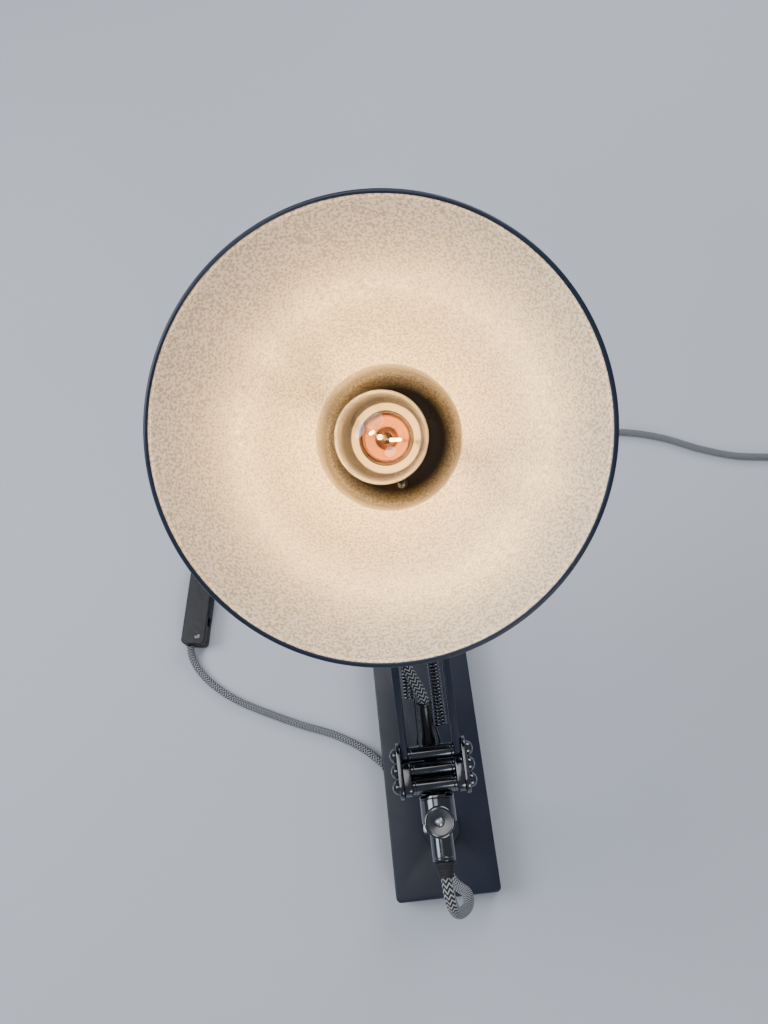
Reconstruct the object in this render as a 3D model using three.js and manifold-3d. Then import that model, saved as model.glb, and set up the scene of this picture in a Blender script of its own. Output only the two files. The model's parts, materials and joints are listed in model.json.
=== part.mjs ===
// Architect desk lamp: a heavy flat base, a swivelling column, a parallelogram arm balanced by two
// springs, and a conical shade that tips through more than half a turn.
// Millimetres, +Z up, +Y from the column towards the shade. The origin is the middle of the base's
// underside. The lamp stands with its arm raised a little and its shade turned up and back.
import * as THREE from 'three';
import { mergeVertices } from 'three/addons/utils/BufferGeometryUtils.js';
import Module from 'manifold-3d';

const wasm = await Module();
wasm.setup();

// ---- Driving dimensions ------------------------------------------------------------------------
const GAP = 0.3; // between pieces that touch
const CORD_R = 3.25; // braided textile cord

const BASE = { width: 83, length: 230, top: 25, corner: 4, pad: 2.7, wall: 7, roof: 12 };
const COLUMN_Y = -64;
const COLUMN = { radius: 6.5, bore: 5, bottom: 13.4, top: 227.7 };
const TEE_Z = 233; // axis of the sleeves at the column's top

// The arm's pivots, in the plane of the arm. The lower bars stay parallel to the upper ones.
const UPPER_PIVOT = new THREE.Vector3(0, -27, 246);
const LOWER_OFFSET = new THREE.Vector3(0, 3, -27);
const ARM_LENGTH = 160;
const ARM_RAISE = THREE.MathUtils.degToRad(20);
const SPACER_PITCH = 8.5;
const SPRING_PEG = new THREE.Vector3(0, -24, 233);
const SPRING_REACH = 110; // from the lower pivot along the lower bars to the springs' front pin

const BAR = { inner: 13.3, thick: 3.5, height: 8 };
const PLATE = { inner: 17.1, thick: 2.5 };
const RIVET_R = 2;

const TILT_PIVOT = new THREE.Vector3(0, 153, 284);
const SHADE_BACK = THREE.MathUtils.degToRad(27.2); // from straight up, towards the column
const SHADE_LEAN = THREE.MathUtils.degToRad(-3);
const HOLDER_LEAN = THREE.MathUtils.degToRad(-1.8);
const STEM_X = 3; // from the middle of the bracket to the shade's stem
// Heights along the shade's own axis, from the tilt pivot.
const CUP = { floor: 39, wall: 1.4, radius: 37.9, round: 14, mouth: 92 };
const RIM = { height: 168, radius: 93 };
const HOLDER = { bottom: 41.6, top: 80, radius: 19.2 };
const TERMINAL = { x: 2, y: -25, bottom: 41.6, top: 56 };
const BULB = { centre: 108, radius: 22.5, capBottom: 54.5, capTop: 79.5, glass: 0.8 };

const SWITCH = { length: 90, width: 22, height: 17, corner: 4 };
const SWITCH_END = new THREE.Vector3(-205.5, 115.5, 0); // middle of the end nearest the base
const SWITCH_TURN = THREE.MathUtils.degToRad(-8.4);
const SWITCH_ENTRY = -3.5; // the cord's offset from the middle of the switch's end

const COIL = { x: 415, y: 190, middle: 39, columns: 2, layers: 2 };
const PLUG = { length: 36, width: 26, thick: 14, relief: 25, pin: 19 };

// ---- Materials ---------------------------------------------------------------------------------
const finish = (color, roughness, metalness) =>
  new THREE.MeshStandardMaterial({ color, roughness, metalness });
const PAINT = finish(0x10151f, 0.45, 0.2);
const NICKEL = finish(0x2a2c30, 0.15, 1);
const STEEL = finish(0xb8bcc2, 0.25, 1);
const BRAID = finish(0x55585e, 0.9, 0);
const PLASTIC = finish(0x0c0c0d, 0.55, 0);
const RUBBER = finish(0x141416, 0.8, 0);
const FELT = finish(0x1d1d20, 1, 0);
const GLASS = finish(0xfff1d8, 0.05, 0);
const BRASS = finish(0xb5854a, 0.3, 1);

// ---- Solids ------------------------------------------------------------------------------------
const V = (x, y, z) => new THREE.Vector3(x, y, z);

function solid(geometry) {
  const bare = (geometry.index ? geometry.toNonIndexed() : geometry).clone();
  bare.deleteAttribute('normal');
  bare.deleteAttribute('uv');
  const merged = mergeVertices(bare, 1e-4);
  const triVerts = new Uint32Array(merged.index.array);
  const vertProperties = merged.attributes.position.array;
  return new wasm.Manifold(new wasm.Mesh({ numProp: 3, vertProperties, triVerts }));
}

function geometry(manifold) {
  const mesh = manifold.getMesh();
  const made = new THREE.BufferGeometry();
  made.setAttribute('position', new THREE.BufferAttribute(mesh.vertProperties, 3));
  made.setIndex(new THREE.BufferAttribute(mesh.triVerts, 1));
  return made;
}

// Joins every geometry in the first list and cuts every one in the second from it.
function carve(joined, cut = []) {
  let body = solid(joined[0]);
  for (const extra of joined.slice(1)) body = body.add(solid(extra));
  for (const hole of cut) body = body.subtract(solid(hole));
  return geometry(body);
}

// A cylinder from one point to another, or a cone when the second radius differs.
function rod(from, to, radius, endRadius = radius, segments = 16) {
  const along = to.clone().sub(from);
  const made = new THREE.CylinderGeometry(endRadius, radius, along.length(), segments);
  const turn = new THREE.Quaternion().setFromUnitVectors(V(0, 1, 0), along.clone().normalize());
  made.applyQuaternion(turn);
  return made.translate(...from.clone().add(to).multiplyScalar(0.5).toArray());
}

const across = (y, z, x0, x1, radius, segments = 16) =>
  rod(V(x0, y, z), V(x1, y, z), radius, radius, segments);

// A turned piece about +Z from its outline of [radius, height] points, which runs upwards outside.
function turned(outline, segments = 20) {
  const points = outline.map(([radius, height]) => new THREE.Vector2(radius, height));
  return new THREE.LatheGeometry(points, segments).rotateX(Math.PI / 2);
}

// Points on an arc about [radius, height], with angles in degrees from the outward direction.
function arc(centre, size, from, to, steps) {
  return Array.from({ length: steps + 1 }, (_, i) => {
    const angle = THREE.MathUtils.degToRad(from + ((to - from) * i) / steps);
    return [centre[0] + size * Math.cos(angle), centre[1] + size * Math.sin(angle)];
  });
}

// A flat plate whose corners are arcs of one radius about the given [y, z] points, listed
// anticlockwise seen from +X. It spans x0 to x0 + thick.
function platePiece(points, radius, x0, thick, holes = []) {
  const shape = new THREE.Shape();
  points.forEach(([y, z], i) => {
    const before = points[(i + points.length - 1) % points.length];
    const after = points[(i + 1) % points.length];
    const start = Math.atan2(z - before[1], y - before[0]) - Math.PI / 2;
    const end = Math.atan2(after[1] - z, after[0] - y) - Math.PI / 2;
    shape.absarc(y, z, radius, start, end, false);
  });
  for (const [y, z, size] of holes) {
    const hole = new THREE.Path();
    hole.absarc(y, z, size, 0, 2 * Math.PI, true);
    shape.holes.push(hole);
  }
  const edge = 0.4;
  const made = new THREE.ExtrudeGeometry(shape, {
    depth: thick - 2 * edge,
    curveSegments: 5,
    bevelThickness: edge,
    bevelSize: edge,
    bevelOffset: -edge,
    bevelSegments: 1,
  });
  const toPlane = new THREE.Matrix4().makeBasis(V(0, 1, 0), V(0, 0, 1), V(1, 0, 0));
  return made.applyMatrix4(toPlane).translate(x0 + edge, 0, 0);
}

// A block with rounded upright edges and a small chamfer at top and bottom.
function roundedBlock(width, length, bottom, top, corner, edge = 0.8) {
  const w = width / 2 - corner;
  const l = length / 2 - corner;
  const shape = new THREE.Shape();
  shape.absarc(w, l, corner, 0, Math.PI / 2);
  shape.absarc(-w, l, corner, Math.PI / 2, Math.PI);
  shape.absarc(-w, -l, corner, Math.PI, 1.5 * Math.PI);
  shape.absarc(w, -l, corner, 1.5 * Math.PI, 2 * Math.PI);
  const made = new THREE.ExtrudeGeometry(shape, {
    depth: top - bottom - 2 * edge,
    curveSegments: 3,
    bevelThickness: edge,
    bevelSize: edge,
    bevelOffset: -edge,
    bevelSegments: 1,
  });
  return made.translate(0, 0, bottom + edge);
}

const block = (x0, x1, y0, y1, z0, z1) =>
  new THREE.BoxGeometry(x1 - x0, y1 - y0, z1 - z0)
    .translate((x0 + x1) / 2, (y0 + y1) / 2, (z0 + z1) / 2);

// A round cord along a smooth curve through the points.
function cordTube(points, steps, radius = CORD_R, sides = 8) {
  const section = new THREE.Shape();
  section.absarc(0, 0, radius, 0, 2 * Math.PI);
  const path = new THREE.CatmullRomCurve3(points, false, 'centripetal');
  // An arc is drawn with two straight pieces for each curve segment.
  return new THREE.ExtrudeGeometry(section, { extrudePath: path, steps, curveSegments: sides / 2 });
}

// A through rivet with a domed head on each end and, if asked, a thicker middle between shoulders.
function rivet(y, z, reach, middle = 0, middleHalf = 0) {
  const head = [[4, 0], [3.6, 1.8], [2.2, 3.3], [0, 3.8]];
  const right = [[RIVET_R, reach], ...head.map(([r, h]) => [r, reach + h])];
  const left = [...right].reverse().map(([r, h]) => [r, -h]);
  const core = middle ? [[RIVET_R, -middleHalf], [middle, -middleHalf]] : [];
  const back = core.map(([r, h]) => [r, -h]).reverse();
  return turned([...left, ...core, ...back, ...right], 12)
    .rotateY(Math.PI / 2)
    .translate(0, y, z);
}

const lamp = new THREE.Group();

function piece(name, shape, material, parent = lamp) {
  const mesh = new THREE.Mesh(shape, material);
  mesh.name = name;
  parent.add(mesh);
  return mesh;
}

// ---- Base --------------------------------------------------------------------------------------
const GLAND_FROM = V(-19.4, -30.8, 9); // inside the base
const GLAND_TO = V(-40.6, -9.6, 9); // the mouth of the strain relief

function addBase() {
  const { width, length, top, corner, pad, wall, roof } = BASE;
  const floor = pad + GAP;
  const pocket = block(-width / 2 + wall, width / 2 - wall, -length / 2 + wall,
    length / 2 - wall, floor - 1, top - roof);
  const spigotHole = rod(V(0, COLUMN_Y, 0), V(0, COLUMN_Y, top + 1), 6.8, 6.8, 24);
  const further = GLAND_TO.clone().sub(GLAND_FROM).multiplyScalar(0.3);
  const glandHole = rod(GLAND_FROM, GLAND_TO.clone().add(further), 5.3);
  const shell = roundedBlock(width, length, floor, top, corner);
  piece('base_casting', carve([shell], [pocket, spigotHole, glandHole]), PAINT);

  const ballast = block(-width / 2 + wall + GAP, width / 2 - wall - GAP,
    -length / 2 + wall + GAP, length / 2 - wall - GAP, floor, top - roof - GAP);
  const cordRoom = block(-width / 2, 7, -40, -2, 0, top);
  const nutRoom = rod(V(0, COLUMN_Y, 0), V(0, COLUMN_Y, top), 12);
  piece('ballast_plate', carve([ballast], [cordRoom, nutRoom]), STEEL);
  piece('base_pad', roundedBlock(width - 3, length - 3, 0, pad, corner - 1.5, 0.4), FELT);

  const along = GLAND_TO.clone().sub(GLAND_FROM);
  const mouth = along.length();
  const relief = turned([[3.55, 0], [5, 0], [5, 12], [4.2, mouth], [3.55, mouth], [3.55, 0]], 16);
  relief.applyQuaternion(new THREE.Quaternion().setFromUnitVectors(V(0, 0, 1), along.normalize()));
  piece('mains_gland', relief.translate(...GLAND_FROM.toArray()), RUBBER);
}

function addSocket() {
  const { top, pad, roof } = BASE;
  const flange = turned([[6.8, top + GAP], [15, top + GAP], [15, top + 3], [14, top + 4],
    [10.5, top + 5], [10.5, top + 15], [9.7, top + 16], [6.8, top + 16], [6.8, top + GAP]]);
  piece('column_socket', flange.translate(0, COLUMN_Y, 0), NICKEL);
  const nut = new THREE.CylinderGeometry(10, 10, top - roof - pad - 2 * GAP - 1, 6)
    .rotateX(Math.PI / 2)
    .translate(0, COLUMN_Y, (top - roof + pad) / 2 + 0.2);
  piece('socket_nut', carve([nut], [rod(V(0, COLUMN_Y, 0), V(0, COLUMN_Y, top), 5)]), STEEL);
}

// ---- Column and tee ----------------------------------------------------------------------------
const LOOP_Z = 150; // where the cord goes back into the column

function addColumn(post) {
  const { radius, bore, bottom, top } = COLUMN;
  const tube = rod(V(0, 0, bottom), V(0, 0, top), radius, radius, 24);
  const inside = rod(V(0, 0, bottom - 1), V(0, 0, top + 1), bore, bore, 24);
  const cordHole = rod(V(0, 0, LOOP_Z), V(0, -12, LOOP_Z), 3.6);
  piece('column_tube', carve([tube], [inside, cordHole]), PAINT, post);
  const ring = rod(V(0, -4, LOOP_Z), V(0, -9.5, LOOP_Z), 5.6, 4.6);
  const grommet = carve([ring], [rod(V(0, 1, LOOP_Z), V(0, -12, LOOP_Z), 3.55),
    rod(V(0, 0, LOOP_Z - 9), V(0, 0, LOOP_Z + 9), radius + GAP, radius + GAP, 24)]);
  piece('column_grommet', grommet, RUBBER, post);
}

function addTee(post) {
  const z = TEE_Z;
  const barrel = rod(V(0, 0, 221.3), V(0, 0, 244), 8, 8, 24);
  const front = rod(V(0, 0, z), V(0, 14.9, z), 9.75, 9.75, 24);
  const spigot = rod(V(0, 14, z), V(0, 23, z), 5.9);
  const rear = rod(V(0, 0, z), V(0, -20, z), 6.35, 6.35, 24);
  const holes = [rod(V(0, -21, z), V(0, 24, z), 3.7), rod(V(0, -21, z), V(0, -8.5, z), 5.5),
    rod(V(0, 0, 221), V(0, 0, 228), COLUMN.radius + GAP, COLUMN.radius + GAP, 24)];
  piece('tee_body', carve([barrel, front, spigot, rear], holes), NICKEL, post);
  const cap = turned([[0, 244.3], [8.2, 244.3], [8.5, 244.8], [8.5, 246], [7.9, 246.6],
    [6.9, 246.2], [2.6, 246.2], [2.6, 245.3], [0, 245.3]]);
  piece('tee_cap', cap, NICKEL, post);
  const screw = turned([[0, 245.6], [2.3, 245.6], [2.3, 246.8], [1.6, 247.6], [0, 247.9]], 20);
  const slot = block(-3, 3, -0.35, 0.35, 247.1, 249);
  piece('tee_screw', carve([screw], [slot.rotateZ(0.6)]), STEEL, post);
  const relief = turned([[3.55, 8.8], [5.2, 8.8], [5.2, 20.3], [6.3, 20.3], [6.3, 21.5],
    [5.6, 22], [4.3, 28.2], [3.85, 28.2], [3.55, 22], [3.55, 8.8]], 24);
  piece('rear_relief', relief.rotateX(Math.PI / 2).translate(0, 0, z), RUBBER, post);
}

// The cord leaves the tee, drops in a loop behind the column and goes back into it.
const LOOP_ROUTE = [
  V(0, -13, TEE_Z), V(0, -20, TEE_Z), V(0, -27.6, TEE_Z), V(0.2, -34.6, 231.8), V(0.9, -40.8, 228),
  V(2.2, -45.2, 220.8), V(4.4, -47.6, 210.6), V(7.2, -47.9, 200), V(10, -46.4, 191),
  V(11.6, -43.2, 182.8), V(11, -39.9, 174.6), V(8.4, -37.9, 167), V(5.2, -35.3, 160.4),
  V(2.3, -30.4, 155), V(0.5, -23, 151.4), V(0, -14.5, LOOP_Z), V(0, -6.5, LOOP_Z),
];

// ---- Elbow -------------------------------------------------------------------------------------
const lowerPivot = UPPER_PIVOT.clone().add(LOWER_OFFSET);
const spacerY = (index) => UPPER_PIVOT.y - SPACER_PITCH * index;

function addElbow(post) {
  const { y, z } = UPPER_PIVOT;
  const rear = spacerY(2);
  const hub = block(-12.9, 12.9, rear - 4.8, -31, 222, 241.6);
  const bores = [rod(V(0, -50, TEE_Z), V(0, -40.4, TEE_Z), 6.2),
    rod(V(0, -50, TEE_Z), V(0, -28, TEE_Z), 3.6)];
  const hubSide = [[-44, 226.5], [-35.5, 226.5], [-35.5, 237], [-44, 237]];
  const hubEnds = platePiece(hubSide, 4.5, -12.9, 25.8);
  piece('elbow_hub', carve([hub], bores.concat(cornerCuts(hubEnds, hub))), NICKEL, post);

  const corners = [[rear, 229], [lowerPivot.y, lowerPivot.z], [y, z], [rear, z]];
  const holes = [[y, z], [spacerY(1), z], [rear, z], [lowerPivot.y, lowerPivot.z]]
    .map(([hy, hz]) => [hy, hz, RIVET_R + GAP]);
  for (const [side, sign] of [['left', -1], ['right', 1]]) {
    const x0 = sign > 0 ? PLATE.inner : -PLATE.inner - PLATE.thick;
    const cheek = platePiece(corners, 6.8, x0, PLATE.thick, holes);
    const peg = across(SPRING_PEG.y, SPRING_PEG.z, sign * 5.6, sign * (PLATE.inner + 1), 1.5, 16);
    piece(`cheek_${side}`, carve([cheek, peg]), NICKEL, post);
  }
  const heads = PLATE.inner + PLATE.thick + GAP;
  ['front', 'middle', 'rear'].forEach((place, i) => {
    const half = i ? PLATE.inner - GAP : BAR.inner - GAP;
    const tube = i
      ? turned([[RIVET_R + GAP, -half], [3.7, -half], [3.7, -13], [4, -13], [4, 13], [3.7, 13],
        [3.7, half], [RIVET_R + GAP, half], [RIVET_R + GAP, -half]], 16)
      : turned([[RIVET_R + GAP, -half], [4, -half], [4, half], [RIVET_R + GAP, half],
        [RIVET_R + GAP, -half]], 16);
    tube.rotateY(Math.PI / 2).translate(0, spacerY(i), z);
    piece(`spacer_${place}`, tube, NICKEL, post);
    piece(`elbow_rivet_${place}`, rivet(spacerY(i), z, heads), NICKEL, post);
  });
  const lower = rivet(lowerPivot.y, lowerPivot.z, heads, 3, BAR.inner - GAP);
  piece('lower_pivot_rivet', lower, NICKEL, post);
}

// What a block has outside a rounded form of the same size, as one cutter.
function cornerCuts(rounded, around) {
  const rest = solid(around).subtract(solid(rounded));
  return rest.decompose().map(geometry);
}

// The sleeve that carries the cord out of the elbow, and the cord's way up the arm.
const BOOT_ROUTE = [
  V(-0.6, -30.4, TEE_Z), V(-0.6, -22, 233.8), V(-0.6, -13, 236.2), V(-0.6, -5, 239.8),
  V(-0.6, 1.6, 243.9),
];
const ARM_ROUTE = [
  V(-0.6, 1.9, 244.1), V(-1.4, 5.8, 246.7), V(-3.4, 10.6, 250), V(-6, 15.8, 254),
  V(-8.2, 21.8, 258.6), V(-9.4, 29.6, 263.6), V(-9.6, 45, 271), V(-9.6, 60, 278.5),
  V(-9.7, 68, 284.5), V(-9.9, 74, 289),
];
const HEAD_ROUTE = [
  V(-10.2, 76.5, 290.8), V(-13, 84.5, 295.4), V(-17, 90, 297.4), V(-21, 95.5, 297),
  V(-23.6, 102, 294), V(-24, 112, 290), V(-24, 124, 287.3), V(-24.4, 135, 285.6), V(-25, 145.2, 284.2),
];

function addBoot(post) {
  const outer = cordTube(BOOT_ROUTE, 10, 4.2, 12);
  const bore = [V(-0.6, -33, TEE_Z), ...BOOT_ROUTE.slice(1, 4), V(-0.6, 4.6, 245.9)];
  const inner = cordTube(bore, 12, 3.55, 12);
  piece('cord_boot', carve([outer], [inner]), RUBBER, post);
}

// ---- Arm ---------------------------------------------------------------------------------------
function bar(x0) {
  const reach = BAR.height / 2;
  return platePiece([[0, 0], [ARM_LENGTH, 0]], reach, x0, BAR.thick,
    [[0, 0, RIVET_R + GAP], [ARM_LENGTH, 0, RIVET_R + GAP]]);
}

function addBars(parent, level) {
  piece(`${level}_bar_left`, bar(-BAR.inner - BAR.thick), PAINT, parent);
  piece(`${level}_bar_right`, bar(BAR.inner), PAINT, parent);
}

function addBrace(arm) {
  const half = BAR.inner - GAP;
  const brace = turned([[0, -half], [3, -half], [3, half], [0, half]], 20);
  piece('arm_brace', brace.rotateY(Math.PI / 2).translate(0, 128, 0), NICKEL, arm);
}

// Each spring is a closed body of its coil's outer size, with a straight wire to each end.
function spring(name, coil, from, to, start, end, peg, parent) {
  const at = (y, x, lift = 0) => {
    const share = (y - from.y) / (to.y - from.y);
    return V(x, y, from.z + (to.z - from.z) * share + lift);
  };
  const body = rod(at(start, coil.x), at(end, coil.x), coil.r, coil.r, 16);
  const rear = rod(at(from.y + 1.9, peg), at(start + 1, coil.x + coil.side), 0.7, 0.7, 8);
  const front = rod(at(end - 1, coil.x), at(to.y - 1.9, coil.x), 0.7, 0.7, 8);
  piece(name, carve([body, rear, front]), STEEL, parent);
}

function addSprings(link) {
  const toLink = (point) => point.clone().sub(lowerPivot).applyAxisAngle(V(1, 0, 0), -ARM_RAISE);
  const from = toLink(SPRING_PEG);
  const to = V(0, SPRING_REACH, 0);
  spring('spring_left', { x: -9.2, r: 3.8, side: 2.6 }, from, to, 28, 92, -7.2, link);
  spring('spring_right', { x: 7.9, r: 3.9, side: -2.2 }, from, to, 11, 84, 6.6, link);
  const half = BAR.inner - GAP;
  const pin = turned([[0, -half], [1.6, -half], [1.6, half], [0, half]], 16);
  piece('spring_front_pin', pin.rotateY(Math.PI / 2).translate(0, SPRING_REACH, 0), NICKEL, link);
}

// ---- Head --------------------------------------------------------------------------------------
const upperEnd = UPPER_PIVOT.clone()
  .add(V(0, ARM_LENGTH * Math.cos(ARM_RAISE), ARM_LENGTH * Math.sin(ARM_RAISE)));
const lowerEnd = upperEnd.clone().add(LOWER_OFFSET);

function addBracket() {
  const corners = [lowerEnd, TILT_PIVOT, upperEnd].map(({ y, z }) => [y, z]);
  const heads = PLATE.inner + PLATE.thick + GAP;
  const small = RIVET_R + GAP;
  for (const [side, sign] of [['left', -1], ['right', 1]]) {
    const x0 = sign > 0 ? PLATE.inner : -PLATE.inner - PLATE.thick;
    const pivotHole = sign > 0 ? 3.3 : 4.3;
    const holes = corners.map(([y, z], i) => [y, z, i === 1 ? pivotHole : small]);
    piece(`bracket_${side}`, platePiece(corners, 6.5, x0, PLATE.thick, holes), PAINT);
  }
  piece('bracket_rivet_upper', rivet(upperEnd.y, upperEnd.z, heads, 3, BAR.inner - GAP), NICKEL);
  piece('bracket_rivet_lower', rivet(lowerEnd.y, lowerEnd.z, heads, 3, BAR.inner - GAP), NICKEL);
  const { y, z } = TILT_PIVOT;
  const boss = across(y, z, -heads, -30, 7.4);
  piece('pivot_gland', carve([boss, across(y, z, -heads - 1, -9, 4)]), NICKEL);
  const grip = across(y, z, heads, 31, 8.5, 24);
  const dents = Array.from({ length: 6 }, (_, i) => {
    const angle = (i * Math.PI) / 3;
    return across(y + 10.6 * Math.cos(angle), z + 10.6 * Math.sin(angle), heads - 1, 32, 3.6, 16);
  });
  piece('tilt_knob', carve([grip, across(y, z, heads + 1, 8, 3)], dents), PLASTIC);
}

// The head's own frame has its origin on the tilt pivot's line and +Z along the shade's axis.
function addHead(head) {
  const left = GAP - PLATE.inner - STEM_X;
  const right = PLATE.inner - GAP - STEM_X;
  const { floor, wall, radius, round, mouth } = CUP;
  const stem = rod(V(0, 0, 0), V(0, 0, floor - GAP), 5);
  const nipple = rod(V(0, 0, 1), V(0, 0, 50), 4.6);
  const barrel = across(0, 0, left, right, 6.5, 24);
  const cuts = [across(0, 0, left - 3, -1, 4.3), across(0, 0, 4.4, right + 3, 3.3),
    rod(V(0, 0, 0), V(0, 0, 51), 3.2)];
  // The pivot runs level, so the barrel leans back against the shade's own sideways lean.
  const straight = new THREE.Matrix4().makeRotationY(-SHADE_LEAN);
  [barrel, cuts[0], cuts[1]].forEach((level) => level.applyMatrix4(straight));
  piece('knuckle_stem', carve([stem, nipple, barrel], cuts), NICKEL, head);

  const flat = radius - round;
  const flare = [[42, mouth + 1], [RIM.radius, RIM.height]];
  const outside = [[5, floor], [flat, floor], ...arc([flat, floor + round], round, -70, 0, 3),
    [radius, mouth - 5], [radius + 1.2, mouth - 1.8], [flare[0][0] + 0.6, mouth + 0.4], flare[1],
    [RIM.radius + 1.2, RIM.height + 0.5], [RIM.radius + 0.9, RIM.height + 1.4]];
  const inside = [[RIM.radius - 0.8, RIM.height + 1.4], [RIM.radius - 1.5, RIM.height + 0.4],
    [flare[0][0] - 0.4, mouth + 2], [radius, mouth + 0.2], [radius - wall, mouth - 3],
    ...arc([flat, floor + round], round - wall, 0, -70, 3), [flat, floor + wall],
    [5, floor + wall], [5, floor]];
  piece('shade', turned([...outside, ...inside], 36), PAINT, head);

  const lamps = new THREE.Group();
  lamps.position.set(0, 0, HOLDER.bottom);
  lamps.rotation.y = HOLDER_LEAN;
  const offset = new THREE.Group();
  offset.position.set(0, 0, -HOLDER.bottom);
  lamps.add(offset);
  head.add(lamps);
  addBulb(offset);
  addTerminal(head);
}

// The earth terminal stands on the cup's floor beside the lampholder.
function addTerminal(head) {
  const { x, y, bottom, top } = TERMINAL;
  const post = turned([[0, bottom], [3, bottom], [3, top - 2], [2.4, top - 1.6], [2.4, top],
    [0, top]], 16);
  piece('earth_terminal', post.translate(x, y, 0), NICKEL, head);
}

function addBulb(parent) {
  const { bottom, top, radius } = HOLDER;
  const holder = turned([[5.6, bottom], [15, bottom], [radius, bottom + 6], [radius, top - 1],
    [radius - 1, top], [16, top], [14.4, top - 3], [14.4, bottom + 12], [5.6, bottom + 12],
    [5.6, bottom]]);
  piece('lampholder', holder, PLASTIC, parent);
  const { centre, capBottom, capTop, glass } = BULB;
  const cap = turned([[0, capBottom], [4.5, capBottom], [5, capBottom + 2], [11, capBottom + 4.5],
    [13.2, capBottom + 6], [13.2, capTop], [12.4, capTop], [12.4, capBottom + 8],
    [0, capBottom + 8]]);
  piece('bulb_cap', cap, BRASS, parent);
  const ball = (size) => arc([0, centre], size, -54, 90, 8);
  const neck = capTop + GAP;
  const outer = [[12.4, neck], [12.6, neck + 5], ...ball(BULB.radius)];
  const inner = [[12.4 - glass, neck], [12.6 - glass, neck + 5], ...ball(BULB.radius - glass)];
  outer[outer.length - 1][0] = 0;
  inner[inner.length - 1][0] = 0;
  piece('bulb_glass', turned([inner[0], ...outer, ...inner.reverse()], 20), GLASS, parent);
  const stemBottom = capBottom + 8 + GAP;
  const stem = turned([[0, stemBottom], [9.5, stemBottom], [6, 70], [3.2, 80], [2.4, 98], [0, 99]], 20);
  piece('bulb_stem', stem, GLASS, parent);
}

// ---- Mains lead --------------------------------------------------------------------------------
// The lead lies on the table: its middle is one radius above it.
const ON_TABLE = CORD_R + 0.05;
const BASE_TO_SWITCH = [
  V(-40.8, -9.4, 9), V(-45.2, -5, 8.7), V(-50, -0.4, 7.6), V(-56, 4.8, 5.9), V(-64.7, 11.3, 4.2),
  V(-74.5, 17.1, ON_TABLE), V(-84, 22.2, ON_TABLE), V(-95, 26.8, ON_TABLE),
  V(-111, 33.2, ON_TABLE), V(-128, 40.9, ON_TABLE), V(-147, 50.2, ON_TABLE),
  V(-167, 60.9, ON_TABLE), V(-184.5, 73.6, ON_TABLE), V(-197.6, 86.4, 3.6), V(-205.2, 97.8, 5.2),
  V(-208.6, 107.6, 7.1), V(-209.1, 115.4, 8.6),
];

function inSwitch(x, y, z) {
  return V(x, y, z).applyAxisAngle(V(0, 0, 1), SWITCH_TURN).add(SWITCH_END);
}

const SWITCH_TO_COIL = [
  inSwitch(SWITCH_ENTRY, SWITCH.length + 0.4, 8.6), V(-192, 216, 7), V(-187.5, 229, 4.2),
  V(-178, 245, ON_TABLE), V(-160, 259, ON_TABLE), V(-136, 268, ON_TABLE), V(-106, 272, ON_TABLE),
  V(-72, 271, ON_TABLE), V(-36, 268, ON_TABLE), V(2, 266, ON_TABLE), V(42, 268, ON_TABLE),
  V(84, 273, ON_TABLE), V(126, 279, ON_TABLE), V(166, 284, ON_TABLE), V(200, 286, ON_TABLE),
  V(232, 282.8, ON_TABLE), V(267, 271.6, ON_TABLE), V(302, 253.6, ON_TABLE),
  V(333, 241.6, ON_TABLE), V(362, 236.2, ON_TABLE), V(376, 233.6, ON_TABLE),
  V(389.4, 232.4, ON_TABLE),
];

// The last turn leaves the coil on its far side and runs straight into the plug.
const TAIL_X = COIL.x + COIL.middle + CORD_R;
const PLUG_END = 152; // the mouth of the plug's strain relief
const COIL_TO_PLUG = [V(TAIL_X, 163.5, 7.5), V(TAIL_X, 158, 7.1), V(TAIL_X, PLUG_END + GAP, 7)];

function addSwitch() {
  const { length, width, height, corner } = SWITCH;
  const group = new THREE.Group();
  group.position.copy(SWITCH_END);
  group.rotation.z = SWITCH_TURN;
  lamp.add(group);
  const half = height / 2;
  const entry = rod(V(SWITCH_ENTRY, -1, 8.6), V(SWITCH_ENTRY, 9, 8.6), 3.6);
  const exit = rod(V(SWITCH_ENTRY, length - 9, 8.6), V(SWITCH_ENTRY, length + 1, 8.6), 3.6);
  const slot = block(3, width, 18, 66, 5.4, height - 3.2);
  const shell = (bottom, top) =>
    roundedBlock(width, length, bottom, top, corner, 1).translate(0, length / 2, 0);
  piece('switch_bottom', carve([shell(0, half - GAP / 2)], [entry, exit, slot]), PLASTIC, group);
  piece('switch_top', carve([shell(half + GAP / 2, height)], [entry, exit, slot]), PLASTIC, group);
  const slider = block(3.6, width / 2 + 1.6, 26, 46, 5.8, height - 3.6);
  piece('switch_slider', slider, PLASTIC, group);
}

function addCoil() {
  const { x, y, middle, columns, layers } = COIL;
  const wide = columns * 2 * CORD_R;
  const tall = layers * 2 * CORD_R;
  const inner = middle - wide / 2;
  const outer = middle + wide / 2;
  const ring = turned([[inner, 1.5], [inner + 1.5, 0], [outer - 1.5, 0], [outer, 1.5],
    [outer, tall - 1.5], [outer - 1.5, tall], [inner + 1.5, tall], [inner, tall - 1.5],
    [inner, 1.5]], 28);
  piece('cord_coil', ring.translate(x, y, 0), BRAID);
}

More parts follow.
